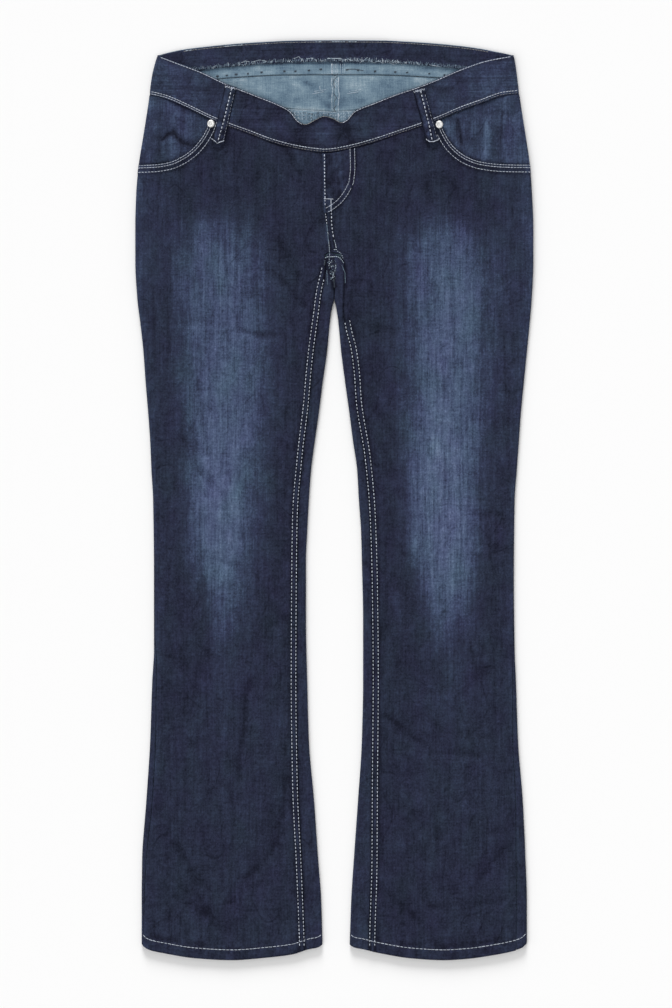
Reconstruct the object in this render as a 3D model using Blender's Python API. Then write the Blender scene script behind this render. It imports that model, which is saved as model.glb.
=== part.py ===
"""Bootcut jeans laid flat with the front up: a pair cut for a low front and a high back.

The cloth is one closed tube pressed into two layers. The front pieces are the upper layer, the
back pieces the lower one, and the two meet round soft folds at the sides and inside the legs.
Every piece is a patch of that one surface, given the thickness of its cloth, so neighbours meet
edge to edge with a small gap at each seam.

Run it with  blender --background --python part.py  or from Blender's text editor.

Frame: metres, +Z up. The jeans lie on z = 0 with the waist towards +Y and the hems towards -Y.
Sizes and tables below are in millimetres. "right" and "left" are the wearer's: right is at -X.
"""

import math

import bmesh
import bpy
import numpy as np

MM = 0.001

# ---------------------------------------------------------------- driving dimensions
CLOTH = 1.5  # wall of one layer of denim
BAND = 2.4  # waistband: two layers and an interlining
FACING = 1.2  # pocket facing, a lighter layer
STRIP = 1.0  # turned-in strip inside the back waistband
FLY = 1.0  # mock fly
LOOP = 2.2  # front belt loop, folded in three
BACK_LOOP = 1.6
POCKET = 1.2  # back pocket

GAP = 0.3  # between pieces that meet at a seam
FOLD = 2.4  # middle radius of the pressed folds
QUARTER = FOLD * math.pi / 2

LEG_HEIGHT = 4.6  # middle of the upper layer over the floor, at the legs
HIP_HEIGHT = 6.0  # and at the hips
LEG_UNDER = CLOTH / 2  # middle of the lower layer, at the legs
SEAT_UNDER = POCKET + GAP + CLOTH / 2  # raised by the back pockets
WAIST_UNDER = BAND / 2
LOOP_LIFT = BACK_LOOP + GAP  # the back waistband over its belt loops

CROTCH = 293.0  # level where the centre front seam meets the inseams
APEX = 235.5  # level where the legs part
SEAM_WIDTH = 7.0  # felled seam: a raised band this wide
SEAM_RISE = 0.5
HEM_DEPTH = 14.0
HEM_RISE = 0.7
BACK_HEM_SHORT = 3.0

LOOP_WIDTH = 14.0
BACK_LOOP_WIDTH = 12.0
RIVET_RADIUS = 4.6
RIVET_HEIGHT = 1.6

DENIM = (0.023, 0.028, 0.052)
DENIM_INSIDE = (0.155, 0.225, 0.290)
SILVER = (0.62, 0.62, 0.60)

SIDES = {"right": -1, "left": 1}


# ---------------------------------------------------------------- tables of the cut
def table(names, *rows):
    """Named columns of a short table with one row for each section."""
    return dict(zip(names.split(), np.array(rows, float).T))


# Outer folds, a row for each level from the waist down.
OUTER = table(
    "level right left",
    (525, -209, 212),
    (501, -215, 215.5),
    (465, -220, 220.5),
    (430, -225.5, 226),
    (395, -231, 231),
    (360, -234, 233.5),
    (324, -235, 235),
    (282, -235, 235),
    (236, -232.5, 233),
    (212, -229.5, 231),
    (176, -225.5, 227.5),
    (141, -223, 224),
    (105, -220, 220.5),
    (70, -217.5, 218),
    (35, -216, 215.5),
    (0, -214, 213),
    (-90, -213, 212),
    (-177, -213, 213),
    (-213, -215, 214.5),
    (-284, -217.5, 217),
    (-354, -222, 222.5),
    (-425, -227, 226),
    (-472, -227.5, 227.5),
    (-545, -227.5, 227.5),
)

# Inner folds of the legs, from the point where they part down to the hems.
INNER = table(
    "level right left",
    (235.5, -0.15, 0.15),
    (228, -2.5, 2),
    (212, -5, 4.5),
    (176, -8.5, 8),
    (141, -13.5, 12.5),
    (105, -18, 17.5),
    (70, -23, 22),
    (35, -27.5, 27),
    (0, -30, 29),
    (-36, -32, 31.5),
    (-72, -33.5, 32.5),
    (-142, -33.5, 34),
    (-213, -32, 34),
    (-284, -30, 32.5),
    (-354, -24, 28),
    (-425, -19, 23),
    (-472, -15.5, 20),
    (-545, -13.5, 17.5),
)

# Inseams, which lie on the front because the wider back wraps round the inner folds.
INSEAM = table(
    "level right left",
    (286, -11, 8),
    (278, -10, 12.5),
    (262, -11.8, 12.2),
    (240, -15.5, 11.5),
    (220, -18, 11),
    (200, -20.8, 14),
    (180, -23.5, 19.2),
    (147, -27, 23.5),
    (117, -29.5, 25.5),
    (50, -37.3, 36),
    (-20, -42.8, 42),
    (-110, -44, 44.6),
    (-213, -44.4, 45.5),
    (-338, -42.7, 44.5),
    (-430, -38.3, 44),
    (-512, -35, 41.5),
    (-545, -34, 41),
)

# How far the side seams come round from the outer folds onto the front.
OUTSEAM = table(
    "level right left",
    (480, 0, 0),
    (0, 0, 0),
    (-140, 1.5, 1.5),
    (-225, 6, 5),
    (-350, 8, 9),
    (-470, 4, 13),
    (-545, 2, 13.5),
)

CENTRE_FRONT = table("level x", (414, -11), (338, -10.5), (306, -6.5), (293, -5))

# Lower edge of the front waistband. The panels have a corner at each row, so it runs straight between.
FRONT_SEAM = table(
    "x level",
    (-219, 478),
    (-200, 473.5),
    (-177, 464),
    (-147, 449.5),
    (-125, 440.5),
    (-100, 431.5),
    (-72, 421),
    (-42, 413.5),
    (-18, 410),
    (-11, 409.5),
    (-4, 410),
    (20, 414.5),
    (46, 421.5),
    (70, 429.5),
    (97, 438.5),
    (124, 448.5),
    (148, 459),
    (172, 467.5),
    (200, 477),
    (219, 479),
)

# Upper edge of the front waistband, with the two dips of its slack middle.
FRONT_TOP = table(
    "x level",
    (-209, 525),
    (-188, 517),
    (-158, 505.7),
    (-129, 492),
    (-93, 477.8),
    (-60, 464),
    (-52, 458.8),
    (-44, 448.6),
    (-34, 443.6),
    (-25, 447.6),
    (-12, 453),
    (-2, 450.8),
    (8, 446),
    (16, 450),
    (23, 458.5),
    (48, 469.2),
    (77, 480.5),
    (97, 487),
    (121, 496.4),
    (148, 508),
    (180, 519),
    (212, 525),
)

BACK_TOP = table(
    "x level",
    (-209, 525),
    (-182, 531.5),
    (-144, 536.3),
    (-97, 540.3),
    (-40, 542.7),
    (0, 543),
    (54, 542.8),
    (92, 541.2),
    (130, 538.3),
    (167, 534),
    (212, 525),
)

# Seams of the back, straight between their rows, as far from the middle on both sides.
BACK_SEAM = table("x level", (0, 502), (56, 501.8), (123, 498.4), (170, 491), (200, 483), (219, 478))
YOKE_SEAM = table("x level", (0, 458.5), (56, 462), (222, 456))
STRIP_EDGE = table("x level", (0, 517.5), (45, 517), (90, 514.5), (123, 511.5), (160, 508), (206, 503))

POCKET_EDGE = {
    "right": table(
        "x level",
        (-232, 395.5),
        (-212, 396.3),
        (-195, 399),
        (-181, 405),
        (-169, 413.5),
        (-159, 424.5),
        (-151.5, 437),
        (-147, 449.5),
    ),
    "left": table(
        "x level",
        (232, 396),
        (212, 396.2),
        (195, 396.8),
        (172, 399.8),
        (155.5, 406),
        (140, 418.5),
        (130, 434),
        (124, 448.5),
    ),
}

HEM = {
    "right": table(
        "x level",
        (-228, -521),
        (-224.5, -527.5),
        (-217, -531.5),
        (-201, -535),
        (-163, -541),
        (-121, -543.2),
        (-78, -540),
        (-50, -536.5),
        (-31, -530.5),
        (-19, -528),
        (-13, -523),
    ),
    "left": table(
        "x level",
        (17, -523),
        (23, -528),
        (35, -530.5),
        (54, -535),
        (91, -541),
        (129, -543.2),
        (158, -541.5),
        (186, -537.5),
        (209, -533),
        (221, -529),
        (228, -522),
    ),
}

# Places across a front panel where a corner of its upper edge stands, from the side to the centre front.
FRONT_STATIONS = {
    "right": (-212, -195, -181, -169, -159, -151.5, -147, -125, -100, -72, -42),
    "left": (212, 195, 172, 155.5, 140, 130, 124, 97, 70, 46, 20),
}
BACK_STATIONS = (200, 170, 123, 90, 56, 28)

# The largest folds: from one end to the other, the width of each and its height, a trough where negative.
CREASES = table(
    "x1 y1 x2 y2 width height",
    (-60, 417, -36, 380, 11, -0.8),
    (-68, 306, -40, 256, 12, -1.0),
    (-86, 277, -37, 230, 12, -0.9),
    (-185, 218, -112, 214, 12, -0.8),
    (-112, 192, -70, 193, 11, -0.7),
    (-180, 72, -148, 18, 13, -1.3),
    (-155, 48, -121, 2, 12, 0.9),
    (-150, -4, -122, -44, 12, 0.9),
    (-148, -72, -112, -82, 12, -1.0),
    (-160, -178, -134, -192, 13, -0.9),
    (-98, -219, -110, -332, 13, -1.2),
    (-56, -331, -70, -388, 12, -1.2),
    (-64, -397, -106, -450, 12, -1.0),
    (-190, -408, -155, -454, 12, -1.0),
    (-188, -469, -122, -508, 13, -1.2),
    (22, 236, 17, 205, 11, -0.8),
    (60, 200, 95, 186, 13, -0.7),
    (134, 28, 138, -2, 13, -0.9),
    (170, -20, 200, -22, 11, -0.7),
    (72, -118, 82, -156, 11, 0.8),
    (60, -258, 92, -282, 12, -1.1),
    (112, -260, 132, -282, 12, -1.1),
    (140, -298, 172, -306, 11, -0.8),
    (200, -415, 170, -452, 13, -1.1),
    (62, -466, 104, -504, 12, -1.1),
    (160, -486, 196, -472, 12, -0.8),
)

# Slack ripples of the front waistband's middle.
RIPPLES = table(
    "x1 y1 x2 y2 width height",
    (-36, 452, -40, 420, 10, -1.1),
    (-12, 460, -10, 424, 11, 0.9),
    (8, 452, 16, 424, 10, -1.1),
)


# ---------------------------------------------------------------- curves
def line(values, column, key="level"):
    """A broken line through a table's rows."""
    order = np.argsort(values[key])
    knots = values[key][order]
    heights = values[column][order]
    return lambda at: float(np.interp(at, knots, heights))


def curve(values, column, key="level"):
    """A smooth curve through a table's rows that doesn't swing past them."""
    order = np.argsort(values[key])
    knots = values[key][order]
    heights = values[column][order]
    rise = np.diff(heights) / np.diff(knots)
    slope = np.concatenate([rise[:1], np.zeros(len(knots) - 2), rise[-1:]])
    for k in range(1, len(knots) - 1):
        if rise[k - 1] * rise[k] > 0:
            slope[k] = 2 * rise[k - 1] * rise[k] / (rise[k - 1] + rise[k])

    def value(at):
        at = min(max(at, knots[0]), knots[-1])
        k = min(int(np.searchsorted(knots, at, side="right")) - 1, len(knots) - 2)
        width = knots[k + 1] - knots[k]
        t = (at - knots[k]) / width
        start = heights[k] * (1 + 2 * t) + slope[k] * width * t
        end = heights[k + 1] * (3 - 2 * t) + slope[k + 1] * width * (t - 1)
        return float(start * (1 - t) ** 2 + end * t**2)

    return value


def step(value, start, end):
    """0 before start, 1 after end, and a soft rise between them."""
    t = min(max((value - start) / (end - start), 0.0), 1.0)
    return t * t * (3 - 2 * t)


outer_edge = {side: curve(OUTER, side) for side in SIDES}
inner_edge = {side: curve(INNER, side) for side in SIDES}
inseam = {side: curve(INSEAM, side) for side in SIDES}
outseam = {side: curve(OUTSEAM, side) for side in SIDES}
hem = {side: curve(HEM[side], "level", "x") for side in SIDES}
pocket_edge = {side: line(POCKET_EDGE[side], "level", "x") for side in SIDES}
centre_front = curve(CENTRE_FRONT, "x")
front_seam = line(FRONT_SEAM, "level", "x")
front_top = curve(FRONT_TOP, "level", "x")
back_top = curve(BACK_TOP, "level", "x")
half_back_seam = line(BACK_SEAM, "level", "x")
half_yoke_seam = line(YOKE_SEAM, "level", "x")
half_strip_edge = line(STRIP_EDGE, "level", "x")


def back_seam(x):
    return half_back_seam(abs(x))


def yoke_seam(x):
    return half_yoke_seam(abs(x))


def strip_edge(x):
    return half_strip_edge(abs(x))


# ---------------------------------------------------------------- the cloth's middle surface
def folds_at(folds, x, y):
    """Height that a table of folds adds at a point."""
    total = 0.0
    for x1, y1, x2, y2, width, height in zip(*folds.values()):
        along = np.array([x2 - x1, y2 - y1])
        away = np.array([x - x1, y - y1])
        share = min(max(float(away @ along) / float(along @ along), 0.0), 1.0)
        distance = math.hypot(*(away - share * along))
        total += height * math.exp(-((distance / width) ** 2))
    return total


def upper_height(x, y):
    base = LEG_HEIGHT + (HIP_HEIGHT - LEG_HEIGHT) * step(y, 190, 300)
    return base + folds_at(CREASES, x, y)


def waist_under(x):
    """The back waistband is lifted in the middle by the belt loops under it."""
    return WAIST_UNDER + LOOP_LIFT * step(x, -92, -60) * (1 - step(x, 44, 76))


def under_height(x, y):
    leg = LEG_UNDER + (SEAT_UNDER - LEG_UNDER) * step(y, 225, 268)
    return leg + (waist_under(x) - leg) * step(y, 452, 482)


def opening(y):
    """0 below the point where the legs part, 1 at the crotch seam: how far the fold has opened out."""
    return step(y, APEX, CROTCH + 0.5)


def fold_shape(side, fold, y, wall):
    """Middle line of a fold: its edge, the way inward, its radius, and how far it has opened out."""
    sign = SIDES[side]
    if fold == "outer":
        return outer_edge[side](y) - sign * wall / 2, -sign, FOLD, 0.0
    if y <= APEX:
        return inner_edge[side](y) + sign * wall / 2, sign, FOLD, 0.0
    opened = opening(y)
    edge = sign * (GAP / 2 + (1 - opened) * wall / 2)
    return edge, sign, FOLD + 1.95 * opened, opened


def fold_start(side, fold, y, wall=CLOTH):
    """Where a fold passes into the flat layer."""
    edge, inward, radius, _ = fold_shape(side, fold, y, wall)
    return edge + inward * radius


def skin(side, layer, fold, distance, y, wall=CLOTH):
    """Point of the cloth's middle, so far along the layer from the middle of a fold."""
    edge, inward, radius, opened = fold_shape(side, fold, y, wall)
    start = edge + inward * radius
    if distance > QUARTER:
        x = start + inward * (distance - QUARTER)
        return np.array([x, y, upper_height(x, y) if layer > 0 else under_height(x, y)])
    over = upper_height(start, y)
    under = under_height(start, y)
    level = over if layer > 0 else under
    angle = distance / QUARTER * math.pi / 2
    flat = min(opened / 0.35, 1.0)
    lateral = (1 - flat) * (1 - math.cos(angle)) + flat * distance / QUARTER
    sunk = ((over + under) / 2 - level) * (1 - opened) * (1 - math.sin(angle))
    return np.array([edge + inward * radius * lateral, y, level + sunk])


def normal(side, layer, fold, distance, y, wall=CLOTH):
    """Outward direction of the cloth there."""
    near = max(distance - 0.02, 0.0)
    across = skin(side, layer, fold, near + 0.04, y, wall) - skin(side, layer, fold, near, y, wall)
    down = skin(side, layer, fold, distance, y - 0.02, wall)
    along = skin(side, layer, fold, distance, y + 0.02, wall) - down
    out = np.cross(across, along) * layer * (1 if fold == "inner" else -1) * SIDES[side]
    return out / np.linalg.norm(out)


def settle(column, row, y):
    """Where a column, whose x depends on the level, meets a row, whose level depends on x."""
    for _ in range(25):
        y = row(column(y))
    return y


# ---------------------------------------------------------------- making solids
def material(name, colour, roughness=0.9, metallic=0.0):
    made = bpy.data.materials.get(name) or bpy.data.materials.new(name)
    made.use_nodes = True
    shader = made.node_tree.nodes["Principled BSDF"]
    shader.inputs["Base Color"].default_value = (*colour, 1)
    shader.inputs["Roughness"].default_value = roughness
    shader.inputs["Metallic"].default_value = metallic
    return made


def add_object(name, shape, finish):
    """The bmesh as a named object with its material, faces outward, under the garment's empty."""
    bmesh.ops.recalc_face_normals(shape, faces=shape.faces[:])
    mesh = bpy.data.meshes.new(name)
    shape.to_mesh(mesh)
    shape.free()
    mesh.materials.append(material(*finish))
    mesh.shade_smooth()
    mesh.set_sharp_from_angle(angle=math.radians(40))
    made = bpy.data.objects.new(name, mesh)
    made.parent = bpy.data.objects["jeans"]
    bpy.context.scene.collection.objects.link(made)
    return made


def grid_cells(rows, columns, tag=""):
    """Corner names of the cells of a grid, (tag, row, column)."""
    return [
        ((tag, i, j), (tag, i + 1, j), (tag, i + 1, j + 1), (tag, i, j + 1))
        for i in range(rows)
        for j in range(columns)
    ]


def add_wall(name, cells, place, finish):
    """A closed wall from cells of the middle surface: place gives a corner's outer and inner point."""
    shape = bmesh.new()
    outer = {}
    inner = {}
    for corner in dict.fromkeys(corner for cell in cells for corner in cell):
        outside, inside = place(corner)
        outer[corner] = shape.verts.new(outside * MM)
        inner[corner] = shape.verts.new(inside * MM)
    rim = {}
    for cell in cells:
        shape.faces.new([outer[corner] for corner in cell])
        shape.faces.new([inner[corner] for corner in reversed(cell)])
        for a, b in zip(cell, cell[1:] + cell[:1]):
            if rim.pop((b, a), None) is None:
                rim[(a, b)] = True
    for a, b in rim:
        shape.faces.new([outer[b], outer[a], inner[a], inner[b]])
    return add_object(name, shape, finish)


def layered(point, out, wall, outside=0.0, inside=0.0):
    """Outer and inner point of a wall about its middle, with what is raised on either face."""
    return point + out * (wall / 2 + outside), point - out * (wall / 2 + inside)


# ---------------------------------------------------------------- rows shared by front and back
LEG_TOP = 213.5
LEG_FOOT = -498.0
LEG_STEP = 23.0
leg_count = round((LEG_TOP - LEG_FOOT) / LEG_STEP)
LEG_LEVELS = [APEX, *np.linspace(LEG_TOP, LEG_FOOT, leg_count + 1)]
HEM_ROWS = (HEM_DEPTH + 1.2, HEM_DEPTH, 0.0)
CROTCH_LEVELS = (CROTCH, 286.0, 278.0, 262.0, 249.0)


def level_row(level):
    return lambda x: level


def hem_row(side, height, short=0.0):
    """A row a given height over the hem's edge. The back's edge is shorter in the middle of the leg."""

    def row(x):
        return hem[side](x) + height + short * math.sin(math.pi * share_of_leg(side, x))

    return row


def share_of_leg(side, x):
    inner = inner_edge[side](LEG_FOOT)
    outer = outer_edge[side](LEG_FOOT)
    return min(max((x - inner) / (outer - inner), 0.0), 1.0)


def leg_rows(side, short=0.0):
    return [level_row(y) for y in LEG_LEVELS] + [hem_row(side, height, short) for height in HEM_ROWS]


# ---------------------------------------------------------------- front panels
def front_inner_edge(side, y):
    return centre_front(y) if y >= CROTCH else inseam[side](y)


def front_upper_edge(side, x):
    corner = POCKET_EDGE[side]["x"][-1]
    return pocket_edge[side](x) if abs(x) > abs(corner) else front_seam(x)


def front_reach(side, y):
    """Distance across a front panel from the outer fold's middle to its inner edge."""
    return QUARTER + abs(front_inner_edge(side, y) - fold_start(side, "outer", y))


def front_columns(side):
    """Distance of each column from the outer fold, as a function of the level."""

    def start(y):
        return outseam[side](y) + GAP * 0.6

    def flat_column(x):
        """The column that stands at x on the upper edge keeps its share of the width all the way down."""
        y = front_upper_edge(side, x)
        near = start(y) + QUARTER
        share = (QUARTER + abs(x - fold_start(side, "outer", y)) - near) / (
            front_reach(side, y) - SEAM_WIDTH - near
        )
        return lambda y: start(y) + QUARTER + share * (
            front_reach(side, y) - SEAM_WIDTH - start(y) - QUARTER
        )

    columns = [start, lambda y: start(y) + QUARTER / 2, lambda y: start(y) + QUARTER]
    columns += [flat_column(x) for x in FRONT_STATIONS[side]]
    columns += [lambda y: front_reach(side, y) - SEAM_WIDTH, lambda y: front_reach(side, y) - GAP / 2]
    return columns


def column_x(side, column, y):
    return skin(side, 1, "outer", column(y), y)[0]


def add_front_panel(side):
    columns = front_columns(side)
    upper = 6

    def rim_row(share):
        def row(x):
            edge = front_upper_edge(side, x) - GAP / 2
            return edge + share * (CROTCH - edge)

        return row

    rows = [rim_row(i / upper) for i in range(upper)]
    rows += [level_row(y) for y in CROTCH_LEVELS] + leg_rows(side)
    hem_start = len(rows) - len(HEM_ROWS)

    def place(corner):
        _, i, j = corner
        y = settle(lambda y: column_x(side, columns[j], y), rows[i], 200.0 if i < hem_start else LEG_FOOT)
        point = skin(side, 1, "outer", columns[j](y), y)
        out = normal(side, 1, "outer", columns[j](y), y)
        raised = HEM_RISE if i > hem_start else 0.0
        felled = (j == len(columns) - 1) and (side == "left" or y < CROTCH)
        if felled and y < 330 and not raised:
            raised = SEAM_RISE
        return layered(point, out, CLOTH, raised)

    cells = grid_cells(len(rows) - 1, len(columns) - 1)
    return add_wall("front_panel_" + side, cells, place, ("denim", DENIM))


# ---------------------------------------------------------------- pocket facings
FACING_DROP = CLOTH / 2 + FACING / 2 + 0.4
FACING_REACH = 9.0


def add_pocket_facing(side):
    """The layer seen inside a pocket opening. It slips under the front panel, but not at the side seam."""
    corner = POCKET_EDGE[side]["x"][-1]
    sign = SIDES[side]
    stations = {"right": (-200, -188, -177, -165, -155, -147), "left": (200, 186, 172, 160, 148, 135, 124)}
    last = corner - sign * 3.5

    def x_column(x):
        return lambda y: QUARTER + abs(x - fold_start(side, "outer", y, FACING))

    columns = [lambda y: GAP * 0.6, lambda y: QUARTER / 2, lambda y: QUARTER + 2]
    columns += [x_column(x) for x in (sign * 214, *stations[side], last)]
    down = 5

    def drop(distance):
        return FACING_DROP * step(distance, 12, 34)

    def row(share, distance):
        def level(x):
            top = front_seam(x) - GAP / 2 - 0.4 * step(distance, 60, 75)
            low = pocket_edge[side](x) + GAP / 2 - FACING_REACH * step(distance, 36, 50)
            return top + share * (low - top)

        return level

    def place(key):
        _, i, j = key
        y = 430.0
        for _ in range(25):
            distance = columns[j](y)
            y = row(i / down, distance)(skin(side, 1, "outer", distance, y, FACING)[0])
        distance = columns[j](y)
        out = normal(side, 1, "outer", distance, y, FACING)
        point = skin(side, 1, "outer", distance, y, FACING) - out * drop(distance)
        return layered(point, out, FACING)

    cells = grid_cells(down, len(columns) - 1)
    return add_wall("pocket_facing_" + side, cells, place, ("denim", DENIM))


# ---------------------------------------------------------------- waistbands
def band_columns(stations, level, wall, ends):
    """(side, distance) of each column of a band from the right fold to the left one."""
    columns = [("right", lambda y, d=distance: d) for distance in ends]

    def station(x):
        side = "right" if x < 0 else "left"
        share = x / fold_start(side, "outer", level(x), wall)

        def distance(y):
            return QUARTER + abs(fold_start(side, "outer", y, wall)) * (1 - share)

        return side, distance

    columns += [station(x) for x in stations]
    columns += [("left", lambda y, d=distance: d) for distance in reversed(ends)]
    return columns


def add_band(name, layer, wall, stations, ends, low, top, rows, finish, thickness=None, offset=0.0):
    """A strip right across one layer between two edges. It can be thinner than the band, and moved out."""
    columns = band_columns(stations, low, wall, ends)

    def place(key):
        _, i, j = key
        side, distance = columns[j]
        y = 500.0
        for _ in range(25):
            x = skin(side, layer, "outer", distance(y), y, wall)[0]
            y = top(x) + rows[i] * (low(x) - top(x))
        out = normal(side, layer, "outer", distance(y), y, wall)
        point = skin(side, layer, "outer", distance(y), y, wall) + out * offset
        if layer > 0:
            point = point + np.array([0, 0, folds_at(RIPPLES, x, y)])
        return layered(point, out, thickness or wall)

    cells = grid_cells(len(rows) - 1, len(columns) - 1)
    return add_wall(name, cells, place, finish)


FOLD_ENDS = (GAP * 0.6, QUARTER / 2, QUARTER)
FRONT_BAND_STATIONS = (
    (-200, -177, -162, -147, -125, -100, -72, -60, -51, -42, -34, -26, -18, -11, -4)
    + (3, 11, 20, 28, 46, 70, 97, 124, 148, 172, 200)
)
BACK_BAND_STATIONS = (-200, -170, -148, -123, -92, -76, -56, -28, 0, 28, 56, 76, 92, 123, 148, 170, 200)


def add_waistbands():
    add_band(
        "front_waistband",
        1,
        BAND,
        FRONT_BAND_STATIONS,
        FOLD_ENDS,
        lambda x: front_seam(x) + GAP / 2,
        front_top,
        (0, 0.25, 0.5, 0.75, 1),
        ("denim", DENIM),
    )
    add_band(
        "back_waistband",
        -1,
        BAND,
        BACK_BAND_STATIONS,
        FOLD_ENDS,
        lambda x: back_seam(x) + GAP / 2,
        back_top,
        (0, 0.33, 0.67, 1),
        ("denim_inside", DENIM_INSIDE),
    )
    add_band(
        "back_waistband_facing",
        -1,
        BAND,
        BACK_BAND_STATIONS,
        (QUARTER + 4,),
        strip_edge,
        lambda x: back_top(x) - 0.6,
        (0, 0.5, 1),
        ("denim", DENIM),
        STRIP,
        -(BAND / 2 + GAP + STRIP / 2),
    )


# ---------------------------------------------------------------- back yokes and panels
def add_back_yoke(side):
    sign = SIDES[side]

    def station(x):
        return lambda y: QUARTER + abs(sign * x - fold_start(side, "outer", y))

    columns = [lambda y, d=distance: d for distance in FOLD_ENDS]
    columns += [station(x) for x in (*BACK_STATIONS, GAP / 2)]
    down = 2

    def row(share):
        def level(x):
            top = back_seam(x) - GAP / 2
            return top + share * (yoke_seam(x) + GAP / 2 - top)

        return level

    def place(key):
        _, i, j = key
        y = settle(lambda y: skin(side, -1, "outer", columns[j](y), y)[0], row(i / down), 470.0)
        point = skin(side, -1, "outer", columns[j](y), y)
        return layered(point, normal(side, -1, "outer", columns[j](y), y), CLOTH)

    cells = grid_cells(down, len(columns) - 1)
    return add_wall("back_yoke_" + side, cells, place, ("denim_inside", DENIM_INSIDE))


# Upper edge of the crotch, where both backs meet both fronts, with corners at its rows.
crotch_edge = line(table("x level", (-11, 286), (-5, 293), (8, 286), (12.5, 278)), "level", "x")
LAST_INSEAM_LEVEL = {"right": 286.0, "left": 278.0}
SEAT_ROWS = 10


def add_back_panel(side):
    """From the side seam under the leg and round the inner fold to the inseam on top.

    Above the point where the legs part it splits in two: the seat goes on up to the yoke, and the
    crotch comes up on top to the front's centre seam.
    """
    sign = SIDES[side]

    def span(y):
        return abs(fold_start(side, "outer", y) - fold_start(side, "inner", y))

    def share_at_yoke(x):
        y = yoke_seam(x)
        return abs(sign * x - fold_start(side, "outer", y)) / span(y)

    shares = [0.0] + [share_at_yoke(x) for x in BACK_STATIONS]

    # Each column is (layer, fold, distance from that fold), from the side seam to the inseam.
    def side_seam(y):
        return outseam[side](y) - GAP * 0.6

    def seam_column(y):
        along = side_seam(y)
        return (1, "outer", along) if along > 0 else (-1, "outer", -along)

    def fold_column(round_seam, plain):
        """A column near the outer fold, so many quarters round it: one place where the side seam has come
        well round onto the front, and one where it lies on the fold."""

        def column(y):
            come_round = min(max(side_seam(y), 0.0) / (2 * QUARTER), 1.0)
            along = QUARTER * (round_seam * come_round + plain * (1 - come_round))
            return (1, "outer", along) if along > 0 else (-1, "outer", -along)

        return column

    def under_leg(share):
        return lambda y: (-1, "outer", QUARTER + share * span(y))

    def seam_distance(y):
        return QUARTER + abs(inseam[side](y) - fold_start(side, "inner", y)) - GAP / 2

    def on_top(share):
        return lambda y: (1, "inner", QUARTER + share * (seam_distance(y) - QUARTER))

    columns = [seam_column, fold_column(1, -0.25), fold_column(0.35, -0.5), fold_column(-0.35, -0.75)]
    first_under = len(columns)
    columns += [under_leg(share) for share in shares]
    columns += [lambda y: (-1, "inner", QUARTER), lambda y: (-1, "inner", QUARTER / 2)]
    middle = len(columns)
    columns += [lambda y: (1, "inner", 0.0), lambda y: (1, "inner", QUARTER / 2)]
    columns += [on_top(0.0), on_top(0.49), on_top(1.0)]

    rows = leg_rows(side)
    back_rows = leg_rows(side, BACK_HEM_SHORT)
    hem_start = len(rows) - len(HEM_ROWS)
    crotch_levels = [y for y in reversed(CROTCH_LEVELS) if y < LAST_INSEAM_LEVEL[side]]
    crotch_rows = [level_row(y) for y in crotch_levels] + [lambda x: crotch_edge(x) - GAP]

    def seat_row(share):
        def row(x):
            edge = yoke_seam(x) - GAP / 2
            return APEX + share * (edge - APEX)

        return row

    def row_of(part, i, j):
        if part == "seat":
            return seat_row(i / SEAT_ROWS)
        if part == "crotch":
            return crotch_rows[i - 1]
        return (back_rows if first_under < j < middle - 1 else rows)[i]

    def place_on(where, y):
        layer, fold, distance = where
        return skin(side, layer, fold, distance, y)

    def place(key):
        part, i, j = key
        in_hem = part == "leg" and i > hem_start
        y = settle(lambda y: place_on(columns[j](y), y)[0], row_of(part, i, j), LEG_FOOT if in_hem else APEX)
        where = (-1, "inner", 0.0) if part == "seat" and j == middle else columns[j](y)
        layer, fold, distance = where
        on_front = layer > 0 and (fold == "outer" or distance > QUARTER * 0.99)
        raised = HEM_RISE if in_hem else 0.0
        out = normal(side, layer, fold, distance, y)
        return layered(place_on(where, y), out, CLOTH, raised * on_front, raised * (not on_front))

    last = len(columns) - 1
    cells = grid_cells(len(rows) - 1, last, "leg")
    cells += upward_cells(SEAT_ROWS, 0, middle, "seat")
    cells += upward_cells(len(crotch_rows), middle, last, "crotch")
    return add_wall("back_panel_" + side, cells, place, ("denim", DENIM))


def upward_cells(rows, first, last, part):
    """Cells of a part that grows up from the legs' first row, which it shares."""

    def corner(i, j):
        return ("leg", 0, j) if i == 0 else (part, i, j)

    return [
        (corner(i + 1, j), corner(i, j), corner(i, j + 1), corner(i + 1, j + 1))
        for i in range(rows)
        for j in range(first, last)
    ]


# ---------------------------------------------------------------- pieces that lie on the others
def on_front(x, y, height):
    """A point over the upper layer's middle."""
    return np.array([x, y, upper_height(x, y) + height])


def add_patch(name, rows, columns, at, wall, finish):
    """A patch lying flat: at(down, across), both from 0 to 1, gives its middle point."""

    def place(key):
        _, i, j = key
        return layered(at(i / rows, j / columns), np.array([0, 0, 1.0]), wall)

    return add_wall(name, grid_cells(rows, columns), place, finish)


FLY_EDGE = table("level x", (416, 25), (394, 25.5), (376, 24), (363, 18.5), (350, 9), (342, -1), (338, -8))


def add_mock_fly():
    right_edge = curve(FLY_EDGE, "x")
    height = CLOTH / 2 + GAP + 0.1 + FLY / 2

    def at(down, across):
        left = -14.2 + 1.7 * down
        level = 338.2 + (407.5 - 338.2) * (1 - down)
        x = left + (right_edge(level) - left) * across
        top = front_seam(x) - GAP * 2
        y = top + down * (338.2 - top)
        return on_front(x, y, height)

    return add_patch("mock_fly", 9, 4, at, FLY, ("denim", DENIM))


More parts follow.
